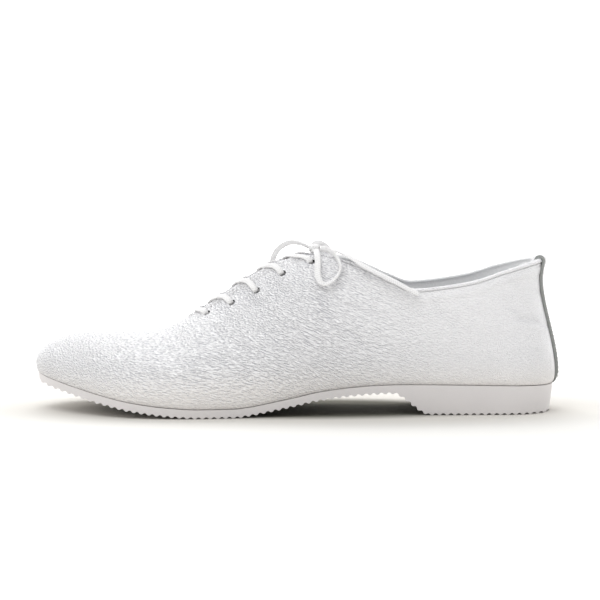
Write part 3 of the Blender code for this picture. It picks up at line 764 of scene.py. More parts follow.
def make_real(made, sharp):
    mesh = evaluated_mesh(made)
    made.modifiers.clear()
    made.data = mesh
    mesh.shade_smooth()
    mesh.set_sharp_from_angle(angle=math.radians(sharp))


def sheet(name, grid, thickness, offset, *materials, sharp=50, **slots):
    """A sheet of rows of points with its thickness. slots go to thicken."""
    made = add(name, sheet_mesh(name, grid), *materials)
    thicken(made, thickness, offset, **slots)
    make_real(made, sharp)
    return made


def cut(made, cutter, operation="DIFFERENCE", materials="INDEX"):
    change = made.modifiers.new(operation.title(), "BOOLEAN")
    change.operation = operation
    change.solver = "EXACT"
    change.material_mode = materials
    change.object = cutter


def settle(made, slot, *nodes):
    """The piece rides on the shoe and stands for its solids, which are hidden. The slot is not
    used.
    """
    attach(made, "root")
    if nodes:
        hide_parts(*nodes)
    return made


def resampled(points, count):
    """Points evenly spaced along a line through the given ones."""
    lengths = run_lengths(points)
    return at_lengths(np.linspace(0, lengths[-1], count), lengths, points)


def smooth_route(points, step):
    """Points about a step apart on a smooth curve through the given ones. Columns after the
    third, such as a twist, are carried along."""
    points = [np.array(point, float) for point in points]
    ends = [2 * points[0] - points[1], *points, 2 * points[-1] - points[-2]]
    fine = []
    for a, b, c, d in zip(ends, ends[1:], ends[2:], ends[3:]):
        for t in np.linspace(0, 1, 16, endpoint=False):
            fine.append(0.5 * (2 * b + (c - a) * t + (2 * a - 5 * b + 4 * c - d) * t * t
                               + (3 * b - a - 3 * c + d) * t**3))
    fine = np.array([*fine, points[-1]])
    lengths = run_lengths(fine[:, :3])
    return at_lengths(np.linspace(0, lengths[-1], round(lengths[-1] / step) + 1), lengths, fine)


# %% [markdown]
# ## Lace as a woven ribbon
#
# The lace is flat and about 3 mm wide, and it twists on its way. A ring of points is set across the
# route at every half millimetre, wide along one direction and thin along the other. The ring is a
# rounded oblong, and the ribbon has its own UV map so that the braid runs along it.

# %% Lace ribbon
RIBBON_SIDES = 14
RIBBON_TIP = 0.78
BRAID_PITCH = 1.1 * MM


def ribbon(name, centres, ways, wide=LACE, flat=LACE_FLAT):
    """A flat cord along points. ways point along its width at each point."""
    centres, ways = np.array(centres, float), np.array(ways, float)
    ahead = unit(np.gradient(centres, axis=0))
    ways = unit(ways - ahead * (ways * ahead).sum(1)[:, None])
    over = np.cross(ahead, ways)
    angles = np.linspace(0, 2 * math.pi, RIBBON_SIDES, endpoint=False) + math.pi / RIBBON_SIDES
    cosines, sines = (np.sign(part) * np.abs(part) ** power
                      for part, power in ((np.cos(angles), 0.8), (np.sin(angles), 0.55)))
    lengths = run_lengths(centres)
    rings = []
    for i, centre in enumerate(centres):
        tip = RIBBON_TIP if i in (0, len(centres) - 1) else 1.0
        rings.append([centre + ways[i] * wide / 2 * c * tip + over[i] * flat / 2 * s * tip
                      for c, s in zip(cosines, sines)])
    bm = bmesh.new()
    uv = bm.loops.layers.uv.new("lace")
    loft(bm, rings)
    for face, (i, k) in zip(bm.faces, np.ndindex(len(centres) - 1, RIBBON_SIDES)):
        places = ((i, k), (i, k + 1), (i + 1, k + 1), (i + 1, k))
        for loop, (row, side) in zip(face.loops, places):
            loop[uv].uv = (lengths[row] / BRAID_PITCH, 4 * side / RIBBON_SIDES)
    made = from_bmesh(name, bm, lace_weave, smooth=True)
    made.data.set_sharp_from_angle(angle=math.radians(60))
    return made


def twisted(rows, outward, step=0.5 * MM):
    """Centres and widths of a loose lace. Each row of the route is x, y and z in millimetres and
    a twist in degrees: at 0 its flat side faces along outward, and at 90 its edge does."""
    route = smooth_route([(x * MM, y * MM, z * MM, twist) for x, y, z, twist in rows], step)
    centres = route[:, :3]
    ahead = unit(np.gradient(centres, axis=0))
    side = unit(np.cross(ahead, np.array(outward, float)))
    turn = np.radians(route[:, 3])[:, None]
    return centres, side * np.cos(turn) + np.cross(side, ahead) * np.sin(turn)


# %% [markdown]
# ## The bow
#
# The bow's loops and ends are loose cords, so they come first. Their routes repeat those of the
# solids. The near loop hangs with its flat side out and turns on edge as it comes back up, as a
# flat lace does, because it would rather twist than bend sideways.

# %% Bow
KNOT_PLACE = (-84, 0, 76.8)
OUTER_WAY, INNER_WAY = (0, -0.86, 0.5), (0, 0.86, 0.5)
BOW = {
    "lace_loop_near_ribbon": ("lace_loop_near", OUTER_WAY, "object", (
        (-84.1, -3.4, 76.4, 20), (-83.4, -6.4, 76.4, 8), (-83, -9.8, 75.6, 0),
        (-82.7, -13.8, 74, 0), (-82.6, -17.8, 71, 0), (-82.7, -20.9, 67.8, 0),
        (-82.4, -23.2, 65, 4), (-81, -25.1, 62.6, 14), (-78.4, -25.2, 62, 34),
        (-75.4, -24.1, 63.6, 54), (-72.9, -22.3, 66.4, 70), (-72, -20.4, 69.4, 80),
        (-72.9, -17.4, 72.4, 80), (-74.6, -13.4, 75.2, 70), (-77.6, -8.8, 76.9, 55),
        (-81, -4.6, 77.3, 30),
    )),
    "lace_end_near_ribbon": ("lace_end_near", OUTER_WAY, "bare", (
        (-81.3, -0.9, 76.4, 30), (-79.4, -2.4, 76.4, 36), (-76.5, -5.2, 76.4, 42),
        (-73, -9.6, 76.2, 40), (-69.8, -14.6, 75.1, 36), (-66.3, -18.6, 73.5, 32),
        (-62, -22, 70.7, 30), (-57, -24.6, 68.2, 28), (-52, -26.7, 65.9, 26),
        (-48, -28.1, 64, 26), (-44, -29.1, 61.9, 26), (-39.5, -29.8, 59.4, 26),
        (-35.4, -29.9, 57.4, 24),
    )),
    "lace_loop_far_ribbon": ("lace_loop_far", INNER_WAY, "object", (
        (-86.2, 2.4, 77.2, 20), (-88.4, 5, 78.1, 14), (-91, 8, 78.9, 8), (-95, 11.5, 79.2, 4),
        (-98.8, 14, 77.8, 4), (-102, 16.5, 75, 8), (-104, 18, 71, 14), (-104.5, 19, 66.5, 18),
        (-103.5, 20.7, 62, 24), (-101, 22, 59, 12), (-97, 22.8, 58.5, 6), (-93.3, 22.8, 60.6, 2),
        (-89.5, 22, 64.6, 0), (-86, 20.2, 69, 0), (-83.4, 17.6, 72.6, 4), (-82.4, 13, 75.6, 10),
        (-82.9, 8.8, 76.4, 16), (-83.5, 4, 76.4, 20),
    )),
    "lace_end_far_ribbon": ("lace_end_far", INNER_WAY, "bare", (
        (-84.6, 2.2, 78.3, 74), (-83.6, 5, 79, 76), (-81.8, 8.4, 79.1, 78),
        (-79.8, 12, 78.2, 76), (-77.8, 15.4, 76.1, 60), (-75.8, 18.6, 73, 30),
        (-73.8, 21.4, 68, 10), (-72.4, 24, 62, 6), (-71.4, 26.2, 56, 8), (-70.8, 28, 50, 12),
    )),
}


def make_bow():
    for name, (node, outward, far_end, rows) in BOW.items():
        centres, ways = twisted(rows, outward)
        made = settle(ribbon(name, centres, ways), "white_lace", node)


make_bow()

# %% [markdown]
# ## The knot
#
# A bow's knot is one turn of lace pulled tight round the crossing of the loops. The turn is a
# ribbon that goes right round, and a short bight under it fills the middle.

# %% Knot
KNOT_TURNS = ((18, -1.0, 1.9, 1.5), (-12, 1.1, 2.0, 1.6))
TURN_WIDE, TURN_FLAT = 2.5 * MM, 1.2 * MM
BIGHT_WIDE, BIGHT_FLAT = 2.4 * MM, 1.1 * MM
BIGHT = (-2.34, 2.6, 0.5)


def make_knot():
    """Each turn has a tilt in degrees, a shift along the lace, and half its own two sizes."""
    centre = np.array(KNOT_PLACE) * MM
    turns = []
    for tilt, shift, across, high in KNOT_TURNS:
        lean = math.radians(tilt)
        wide = np.array([math.cos(lean), math.sin(lean), 0])
        ring = np.array([-math.sin(lean), math.cos(lean), 0])
        points = [centre + (wide * shift + ring * across * math.cos(a)
                            + np.array([0, 0, high * math.sin(a)])) * MM
                  for a in np.linspace(0, 2 * math.pi, 41)]
        turns.append(ribbon("knot_turn", points, [wide] * len(points), TURN_WIDE, TURN_FLAT))
    bight = [centre + np.array([math.cos(a), math.sin(a), 1]) * BIGHT * MM
             for a in np.linspace(-0.6 * math.pi, 0.6 * math.pi, 31)]
    turns.append(ribbon("knot_bight", bight, [(0, 0, 1)] * len(bight), BIGHT_WIDE, BIGHT_FLAT))
    bm = bmesh.new()
    for turn in turns:
        bm.from_mesh(turn.data)
        bpy.data.objects.remove(turn)
    settle(from_bmesh("lace_knot_tied", bm, lace_weave), "white_lace", "lace_knot")


make_knot()

# %% [markdown]
# ## The upper
#
# The upper is a thin shell, so its outer face is meshed first and Solidify gives it its wall. The
# section lines are spaced evenly round the shoe, with one exactly at each corner of the throat.
# Creases come from a short table of strokes: soft hollows that the wearer's foot has pressed in,
# each with its ends, width and depth in the shoe's own sizes.

# %% Creases
CREASE_GAIN = 1.6
CREASE_BOW, CREASE_SWING = 0.064, 5.5
OUTER_CREASES = (
    (-107, 47, -82, 36.5, 1.5, 0.30),
    (-112, 41, -96, 34.0, 1.8, 0.22),
    (-75, 42, -57, 33.5, 1.4, 0.32),
    (-86, 60, -75, 46.0, 2.8, 0.50),
    (-70, 53, -60, 41.0, 1.5, 0.24),
    (-64, 58, -54, 46.0, 1.8, 0.22),
    (-122, 57, -108, 52.5, 2.4, 0.55),
    (-108, 63, -96, 57.0, 2.2, 0.45),
    (-134, 50, -122, 46.5, 2.0, 0.35),
    (-138, 40, -112, 33.0, 2.2, 0.20),
    (-165, 33, -140, 26.0, 2.0, 0.16),
    (-30, 56, -24.5, 47.0, 1.2, 0.22),
    (-28, 50, -14, 40.0, 2.4, 0.18),
    (4, 52, 16, 44.5, 1.1, 0.24),
    (14, 46, 27, 41.0, 1.1, 0.26),
    (8, 44, 22, 44.0, 1.1, 0.16),
    (6, 64, 12, 61.5, 1.2, 0.20),
    (17, 58, 25, 56.5, 1.1, 0.18),
)
INNER_CREASES = (
    (-104, 50, -84, 38.0, 1.8, 0.30),
    (-92, 58, -78, 45.0, 2.4, 0.42),
    (-76, 44, -58, 36.0, 1.6, 0.28),
    (-122, 56, -108, 51.0, 2.2, 0.45),
    (-136, 42, -112, 35.0, 2.0, 0.20),
    (-30, 54, -22, 46.0, 1.4, 0.20),
    (4, 50, 20, 43.0, 1.3, 0.22),
)


def crease_depth(points):
    """How far each point of the outer face is pressed in."""
    pressed = np.zeros(len(points))
    for side, table in ((-1, OUTER_CREASES), (1, INNER_CREASES)):
        here = np.clip(side * points[:, 1] / (3 * MM), 0, 1)
        for x_from, z_from, x_to, z_to, width, depth in table:
            start = np.array([x_from, z_from]) * MM
            way = np.array([x_to, z_to]) * MM - start
            place = points[:, (0, 2)] - start
            share = np.clip((place @ way) / (way @ way), 0, 1)
            aside = np.array([-way[1], way[0]]) * CREASE_BOW
            nearest = np.outer(share, way) + np.outer(np.sin(share * CREASE_SWING), aside)
            distance = np.linalg.norm(place - nearest, axis=1)
            fade = np.sin((share * 0.9 + 0.05) * math.pi) ** 0.7
            hollow = np.exp(-((distance / (width * MM)) ** 2))
            pressed += here * fade * hollow * depth * CREASE_GAIN * MM
    return pressed


# %% Upper
HALF_LINES = 190
ROLL_STEPS, WALL_STEPS = 8, 84
MIDDLE_RISE = 1.35
COLLAR_ROLL, ROLL_BELOW, ROLL_WIDTH = 0.45 * MM, 3 * MM, 1.7 * MM


def even_lines():
    """Section lines spaced evenly round the shoe, the same on both sides."""
    fine = np.linspace(0, ROWS, 900)
    lengths = run_lengths([skin(line, MIDDLE_RISE) for line in fine])
    half = np.interp(np.linspace(0, lengths[-1], HALF_LINES), lengths, fine)
    for corner in (THROAT_BASE, THROAT_TOP):
        half[np.argmin(abs(half - corner))] = corner
    return np.array([*half, *(RING - half[-2:0:-1])])


def outer_grid():
    """The outer face's points with the creases pressed in and the collar's roll raised, and the
    creases' depths."""
    rises = np.array([*np.linspace(0, 1, ROLL_STEPS, endpoint=False),
                      *np.linspace(1, 2, WALL_STEPS)])
    lines = even_lines()
    grid = np.array([section(line, rises) for line in lines])
    ahead = np.roll(grid, -1, axis=0) - np.roll(grid, 1, axis=0)
    out = np.cross(ahead, np.gradient(grid, axis=1))
    out /= np.maximum(np.linalg.norm(out, axis=2, keepdims=True), 1e-12)
    edge = np.clip((2 - rises) / 0.08, 0, 1) * np.clip(rises / 0.5, 0, 1)
    hollow = crease_depth(grid.reshape(-1, 3)).reshape(grid.shape[:2]) * edge
    to_rim = np.linalg.norm(grid - grid[:, -1:], axis=2)
    around_collar = np.clip((np.minimum(lines, RING - lines) - THROAT_TOP) / 0.8, 0, 1)
    roll = COLLAR_ROLL * np.exp(-(((to_rim - ROLL_BELOW) / ROLL_WIDTH) ** 2))
    return grid + out * (roll * around_collar[:, None] - hollow)[:, :, None], hollow


def hole_places():
    rows = []
    for row, edge in enumerate(HOLE_EDGES):
        line = throat_line(HOLE_FIRST + row * HOLE_PITCH)
        rows.append([(side, rise_below(side, edge)) for side in (line, RING - line)])
    return rows


HOLES = hole_places()


def hole_cutter():
    bm = bmesh.new()
    for row in HOLES:
        for line, rise in row:
            place, out, _ = skin_frame(line, rise)
            turned = Vector(out).to_track_quat("Z", "Y").to_matrix().to_4x4()
            bmesh.ops.create_cone(
                bm, cap_ends=True, segments=28, radius1=HOLE_DIAMETER / 2,
                radius2=HOLE_DIAMETER / 2, depth=8 * LEATHER,
                matrix=Matrix.Translation(place) @ turned,
            )
    return from_bmesh("hole_cutter", bm, painted_hole_shade)


def make_upper():
    grid, hollow = outer_grid()
    upper = add("upper_leather", sheet_mesh("upper_leather", grid, closed=True, hollow=hollow),
                white_leather, flesh_side)
    thicken(upper, LEATHER, -1, inside=1)
    cutter = hole_cutter()
    # The hole walls take the cutter's near-black painted shade.
    cut(upper, cutter, materials="TRANSFER")
    make_real(upper, sharp=48)
    bpy.data.objects.remove(cutter)
    settle(upper, "white_leather", "upper")
    print("upper:", len(upper.data.polygons), "faces from", len(grid), "section lines")


make_upper()

# %% [markdown]
# ## Tongue
#
# The tongue lies under the flaps and bridges the throat. It is a sheet between the two sides'
# section lines, a little way under the leather, and leaves room above it for the lace.

# %% Tongue
TONGUE_START = 5.5
TONGUE_DEPTH, TONGUE_THICKNESS = LEATHER + 0.45 * MM, 1.4 * MM
TONGUE_TUCK, TONGUE_TUCK_MORE = 8 * MM, 5 * MM
TONGUE_ROOM = 1.6 * MM
TONGUE_TAIL, TONGUE_LIFT = 10.5 * MM, 1.2 * MM
TONGUE_CROWN, TONGUE_ACROSS = 0.2, 41
TAIL_TAPER, TAIL_ROUND, TAIL_ROUND_FROM = 0.14, 0.34, 0.6
BRIDGE = np.linspace(0, 1, 9)[1:-1]


def flap_frames(line, reach, count):
    """Frames of the leather's outer face up each flap, from a reach down it to its edge."""
    return [[skin_frame(side, rise)
             for rise in np.linspace(rise_below(side, reach), 2 - 2 * STEP, count)]
            for side in (line, RING - line)]


def bridge(start, start_up, end, end_up, crown):
    """Points over the gap between two edges. A crown of 0 is a taut line."""
    wide = np.linalg.norm(start - end)
    leave, arrive = start + start_up * wide * crown, end + end_up * wide * crown
    return [bezier(start, leave, arrive, end, t) for t in BRIDGE]


def across_throat(line, depth, reach):
    """Points across the throat, from a reach down one flap to the same on the other, a depth
    below the leather's outer face."""
    left, right = ([(place - out * depth, up) for place, out, up in flap]
                   for flap in flap_frames(line, reach, 8))
    over = bridge(*left[-1], *right[-1], TONGUE_CROWN)
    points = [*(place for place, _ in left), *over, *(place for place, _ in right[::-1])]
    return resampled(points, TONGUE_ACROSS)


def make_tongue():
    grid = []
    for line in np.linspace(TONGUE_START, THROAT_TOP - 0.1, 60):
        share = (line - TONGUE_START) / (THROAT_TOP - TONGUE_START)
        tuck = TONGUE_TUCK + TONGUE_TUCK_MORE * min(2 * share, 1)
        room = TONGUE_ROOM * min(max((share - 0.15) / 0.2, 0.0), 1.0, (1.25 - share) / 0.35)
        grid.append(across_throat(line, TONGUE_DEPTH + room, tuck))
    centre = TONGUE_ACROSS // 2
    last, middle = grid[-1], grid[-1][centre]
    ahead = middle - grid[-3][centre]
    ahead[2] = 0
    ahead = unit(ahead)
    for share in np.linspace(0, 1, 16)[1:]:
        rise = (TONGUE_LIFT + room) * share**2
        rounded = (max(share - TAIL_ROUND_FROM, 0) / (1 - TAIL_ROUND_FROM)) ** 2
        width = 1 - TAIL_TAPER * share - TAIL_ROUND * rounded
        moved = ahead * TONGUE_TAIL * share + np.array([0, 0, rise])
        grid.append(middle + moved + (last - middle) * width)
    made = sheet("tongue_leather", grid, TONGUE_THICKNESS, -1, white_leather, flesh_side,
                 cut_edge, sharp=48, inside=1, rim=2)
    settle(made, "white_leather", "tongue")
    print("tongue:", len(made.data.polygons), "faces")


make_tongue()

# %% [markdown]
# ## Lacing
#
# One lace zigzags through the punched holes. Each strand comes up out of its hole, lies over its
# own flap, crosses the gap and dives under the other flap towards the next lower hole. At the foot
# a straight bar joins the two sides. The whole lace is one ribbon, so its route is worked out
# strand by strand and joined.

# %% Lacing
LACE_REST = 0.12 * MM
LACE_UNDER = LEATHER + 0.15 * MM + LACE_FLAT / 2
LACE_REACH, LACE_CROWN = 14 * MM, 0.1
FLAP_POINTS = 7
STRAND_SAMPLES = 34
STRANDS = {
    "over": ((-0.94, 0.04, -1), (-0.93, 0.04, -0.3), (-0.9, 0.06, 0.8), (-0.68, 0.12, 1.3),
             (-0.36, 0.24, 1.1), (-0.1, 0.42, 1), (0.05, 0.58, 1.2), (0.35, 0.76, 1.2),
             (0.75, 0.9, -0.2), (1.05, 0.96, -1), (1.94, 1.04, -1)),
    "under": ((-0.94, 0.04, -1), (-0.93, 0.04, -0.3), (-0.9, 0.06, 0.8), (-0.68, 0.12, 1.3),
              (-0.36, 0.24, 1.1), (-0.1, 0.42, 1), (0.05, 0.58, 0.8), (0.3, 0.74, -0.3),
              (0.6, 0.86, -0.9), (1, 0.95, -1), (1.94, 1.04, -1)),
    "bar": ((-0.94, 0.04, -1), (-0.93, 0.04, -0.3), (-0.9, 0.06, 0.8), (-0.6, 0.14, 1.2),
            (-0.1, 0.3, 1), (0.5, 0.36, 1), (1.1, 0.3, 1), (1.6, 0.14, 1.2), (1.9, 0.06, 0.8),
            (1.93, 0.04, -0.3), (1.94, 0.04, -1)),
}


def throat_frames(line):
    """Points across the throat with the way out of each, and how far along each edge lies."""
    flaps = flap_frames(line, LACE_REACH, FLAP_POINTS)
    (start, start_out, start_up), (end, end_out, end_up) = (flap[-1] for flap in flaps)
    over = bridge(start, start_up, end, end_up, LACE_CROWN)
    outs = [start_out * (1 - t) + end_out * t for t in BRIDGE]
    near, far = ([frame[:2] for frame in flap] for flap in flaps)
    places, ways = (np.array(part) for part in zip(*near, *zip(over, outs), *far[::-1]))
    lengths = run_lengths(places)
    return places, ways, lengths, lengths[FLAP_POINTS - 1], lengths[-FLAP_POINTS]


def strand(row, lower_row, from_outer, kind):
    """Centres and widths of one strand. Its table gives the way across, from -1 at its own hole
    by 0 and 1 at the two edges to 2 at the other hole, the share of a row down the throat, and
    the lift, from 1 on the leather to -1 under it."""
    table = np.array(STRANDS[kind], float)
    samples, rows = (np.linspace(0, 1, count) for count in (STRAND_SAMPLES, len(table)))
    flat, ways, heights = [], [], []
    for across, down, lift in at_lengths(samples, rows, table):
        line = throat_line(HOLE_FIRST + (row + down) * HOLE_PITCH)
        places, outs, lengths, near, far = throat_frames(line)
        own, other = HOLE_EDGES[row], HOLE_EDGES[lower_row]
        if not from_outer:
            near, far = far, near
            own, other = -own, -other
        if across < 0:
            at = near + across * own
        elif across <= 1:
            at = near + across * (far - near)
        else:
            at = far + (across - 1) * other
        flat.append(at_lengths(at, lengths, places))
        ways.append(unit(at_lengths(at, lengths, outs)))
        heights.append(lift * (LACE_REST + LACE_FLAT / 2) if lift > 0 else lift * LACE_UNDER)
    flat, ways, heights = np.array(flat), np.array(ways), np.array(heights)
    ahead = np.array([flat[min(i + 5, len(flat) - 1)] - flat[max(i - 5, 0)]
                      for i in range(len(flat))])
    return flat + ways * heights[:, None], np.cross(ways, ahead)


def lacing():
    """Down one side's strands, through the bar and up the other's."""
    last = len(HOLES) - 1
    down, up = ([strand(row, row + 1, side, "over" if side else "under")
                 for row, side in enumerate(sides)]
                for sides in ([True, False] * (last // 2), [False, True] * (last // 2)))
    bar = strand(last, last, True, "bar")
    parts = [*down, bar, *((centres[::-1], ways[::-1]) for centres, ways in reversed(up))]
    return [np.concatenate(part) for part in zip(*parts)]


def make_lacing():
    centres, ways = lacing()
    ways = unit(ways)
    for i in range(1, len(ways)):
        if ways[i] @ ways[i - 1] < 0:
            ways[i] = -ways[i]
    knot = np.array(KNOT_PLACE) * MM
    way_down = np.array([0, 0, 1]) * MM
    head, tail = (((end + knot) / 2 - way_down, knot + np.array([0.5, side * 1.2, -3]) * MM)
                  for end, side in ((centres[0], -1), (centres[-1], 1)))
    route = np.concatenate([head[::-1], centres, tail])
    widths = np.concatenate([[ways[0]] * 2, ways, [ways[-1]] * 2])
    lengths = run_lengths(route)
    wanted = np.linspace(0, lengths[-1], round(lengths[-1] / (0.6 * MM)))
    route, widths = (at_lengths(wanted, lengths, table) for table in (route, widths))
    for _ in range(5):
        for table in (route, widths):
            table[1:-1] = (table[:-2] + 2 * table[1:-1] + table[2:]) / 4
    crossings = [f"lace_crossing_{number}" for number in range(1, 5)]
    settle(ribbon("lacing", route, widths), "white_lace", "lace_bar", *crossings)
    print(f"lacing: {lengths[-1] / MM:.0f} mm")


make_lacing()

# %% [markdown]
# ## Collar binding
#
# A narrow strip of the same leather is rolled over the collar's cut rim. Seen from outside it is a
# bright roll over a thin dark groove, and inside it turns its napped side out.

# %% Binding
BINDING_WIDTH, BINDING_HEIGHT = 2.3 * MM, 1.75 * MM
BINDING_SIDES = 16
BINDING_GAP = 0.2 * MM


def rim_frame(line):
    """The middle of the upper's cut rim, the way out of the leather and the way up from it."""
    place, out, up = skin_frame(line, 2)
    return place - out * LEATHER / 2, out, up


def binding_frame(line):
    """The same for the middle of the binding, which sits on the rim."""
    middle, out, up = rim_frame(line)
    return middle + up * (BINDING_GAP + BINDING_HEIGHT / 2), out, up


def make_binding():
    """The half of the roll that looks inward shows the napped side."""
    lines = [*np.linspace(THROAT_TOP, ROWS, 130), *np.linspace(ROWS, RING - THROAT_TOP, 130)[1:]]
    angles = np.linspace(0, 2 * math.pi, BINDING_SIDES, endpoint=False)
    rings = []
    for line in lines:
        centre, out, up = binding_frame(line)
        rings.append([centre + out * BINDING_WIDTH / 2 * math.cos(a)
                      + up * BINDING_HEIGHT / 2 * math.sin(a) for a in angles])
    bm = bmesh.new()
    loft(bm, rings, [int(0.25 < (k + 0.5) / BINDING_SIDES < 0.75) for k in range(BINDING_SIDES)])
    made = from_bmesh("collar_binding_leather", bm, white_leather, nap_side, smooth=True)
    settle(made, "white_leather", "collar_binding")
    print("binding:", len(made.data.polygons), "faces")


make_binding()

# %% [markdown]
# Inside, the binding's strip runs on down the lining for a few millimetres with its napped side
# out. Its loose fibres stand up along the rim and blur its edge. They are thin cones, set at random
# places and leans with a fixed seed.

# %% Facing and nap
FACING_DEPTH, FACING_THICKNESS = 3.4 * MM, 0.8 * MM
NAP_COUNT, NAP_LENGTH, NAP_WIDTH = 3000, 1.5 * MM, 0.14 * MM
NAP_FROM, NAP_TO, NAP_SPREAD = -0.15, 0.65, 0.55


def make_facing():
    grid = []
    for line in np.linspace(THROAT_TOP + 0.08, RING - THROAT_TOP - 0.08, 240):
        middle, out, up = rim_frame(line)
        row = [middle + up * (BINDING_GAP + 0.5 * MM) - out * BINDING_WIDTH * 0.42]
        for depth in np.linspace(0.15 * MM, FACING_DEPTH, 8):
            place, out, _ = skin_frame(line, rise_below(line, depth))
            row.append(place - out * (LEATHER + 0.05 * MM))
        grid.append(row)
    settle(sheet("collar_facing", grid, FACING_THICKNESS, -1, nap_side), "grey_lining")


def make_nap():
    random = np.random.default_rng(7)
    bm = bmesh.new()
    lines = random.uniform(THROAT_TOP + 0.1, RING - THROAT_TOP - 0.1, NAP_COUNT)
    for line in lines:
        middle, out, up = binding_frame(line)
        turn = random.uniform(NAP_FROM, NAP_TO) * math.pi
        inward, rise = -out * math.sin(turn), up * math.cos(turn)
        root = middle + (inward * BINDING_WIDTH + rise * BINDING_HEIGHT) / 2
        lean = unit(inward + rise + random.normal(0, NAP_SPREAD, 3))
        clump = 0.45 + 0.55 * abs(math.sin(line * 17) * math.sin(line * 6.1 + 1))
        length = NAP_LENGTH * random.uniform(0.35, 1.0) * clump
        side = unit(np.cross(lean, random.normal(0, 1, 3)))
        other = np.cross(lean, side)
        ring = [bm.verts.new(root - lean * 0.1 * MM
                             + (side * math.cos(a) + other * math.sin(a)) * NAP_WIDTH / 2)
                for a in (0, 2 * math.pi / 3, 4 * math.pi / 3)]
        tip = bm.verts.new(root + lean * length)
        for k in range(3):
            bm.faces.new((ring[k], ring[(k + 1) % 3], tip))
        bm.faces.new(reversed(ring))
    settle(from_bmesh("collar_nap", bm, nap_side), "grey_lining")
    print("nap:", NAP_COUNT, "fibres")


make_facing()
make_nap()

# %% [markdown]
# ## Back strap
#
# A strip of leather covers the seam at the heel. It runs up the back, curls over the binding and
# ends inside. Its cut edges are left raw, and show as a grey line from the side.

# %% Back strap
STRAP_WIDTH, STRAP_THICKNESS = 12 * MM, 1.5 * MM
STRAP_INSIDE = 12 * MM
STRAP_POINTS = 120
STRAP_LIFT, STRAP_LIFT_REACH = 0.1 * MM, 8 * MM
STRAP_START, STRAP_CLEAR = 0.36, 0.15 * MM
SKIVE_OUTSIDE, SKIVE_INSIDE, SKIVED = 0.07, 0.06, 0.35


def line_at_side(rise, side):
    """The section line near the heel seam that passes a given distance to one side of it."""
    lines = np.linspace(ROWS - 1.5, ROWS + 1.5, 49)
    return float(np.interp(side, [skin(line, rise)[1] for line in lines], lines))


def strap_bed(rise, side):
    """A point of the leather under the strap, the way out of it, how far off it the strap lies
    so as to clear the binding, and how far away the rim is."""
    line = line_at_side(rise, side)
    place, out, _ = skin_frame(line, rise)
    to_rim = np.linalg.norm(place - skin(line, 2))
    extra = (BINDING_WIDTH - LEATHER) / 2 * max(0.0, 1 - to_rim / STRAP_LIFT_REACH)
    return place, out, STRAP_LIFT + extra, to_rim


def strap_line(side):
    """The strap's inner face at one distance from the seam: up outside, over the binding and
    down inside."""
    rises = [*np.linspace(STRAP_START, 1, 12, endpoint=False), *np.linspace(1, 2 - STEP, 40)]
    beds = [strap_bed(rise, side) for rise in rises]
    outside = [place + out * lift for place, out, lift, _ in beds]
    inside = [place - out * (LEATHER + FACING_THICKNESS + STRAP_CLEAR)
              for place, out, _, to_rim in beds if to_rim < STRAP_INSIDE]
    middle, out, up = binding_frame(line_at_side(2 - STEP, side))
    over = [middle + (out * math.cos(a) + up * math.sin(a)) * (BINDING_WIDTH / 2 + STRAP_CLEAR)
            for a in np.linspace(0, math.pi, 17)]
    return resampled([*outside[:-1], *over, *inside[-2::-1]], STRAP_POINTS)


def make_back_strap():
    """The strap is skived thin towards both of its ends."""
    sides = np.linspace(-STRAP_WIDTH / 2, STRAP_WIDTH / 2, 13)
    inner = np.array([strap_line(side) for side in sides])
    out = unit(np.cross(np.gradient(inner, axis=0), np.gradient(inner, axis=1)))
    share = np.linspace(0, 1, STRAP_POINTS)
    skive = np.clip(np.minimum(share / SKIVE_OUTSIDE, (1 - share) / SKIVE_INSIDE), 0, 1)
    outer = inner + out * (STRAP_THICKNESS * (SKIVED + (1 - SKIVED) * skive))[None, :, None]
    size = 2 * STRAP_POINTS
    bm = bmesh.new()
    loops = loft(bm, [[*low, *high[::-1]] for low, high in zip(inner, outer)], capped=False,
                 slots=[int(k < STRAP_POINTS - 1) for k in range(size)])
    for edge in (loops[0], loops[-1]):
        for k in range(STRAP_POINTS - 1):
            face = bm.faces.new((edge[k], edge[k + 1], edge[size - 2 - k], edge[size - 1 - k]))
            face.material_index = 2
    made = from_bmesh("back_strap_leather", bm, white_leather, flesh_side, cut_edge, smooth=True)
    bevel = made.modifiers.new("Soft edges", "BEVEL")
    bevel.width = 0.2 * MM
    bevel.segments = 2
    bevel.limit_method = "ANGLE"
    bevel.angle_limit = math.radians(50)
    bevel.material = 2
    make_real(made, sharp=60)
    settle(made, "white_leather", "back_strap")
    print("back strap:", len(made.data.polygons), "faces")


make_back_strap()

# %% [markdown]
# ## Outsole
#
# The sole is one moulding: a thin rubber plate with ripples across its whole tread, and a low heel
# whose sloping breast is rippled too. Its side view is extruded across the shoe and cut to the
# outline, which leans in a little towards the floor.

# %% Outsole
EDGE_POINTS = 180
RIPPLE_POINTS = 10
RIPPLE_FLAT = 0.12
OUTLINE_LEVELS = (-3 * MM, SOLE_THICKNESS + ARCH_RISE + TOE_SPRING)


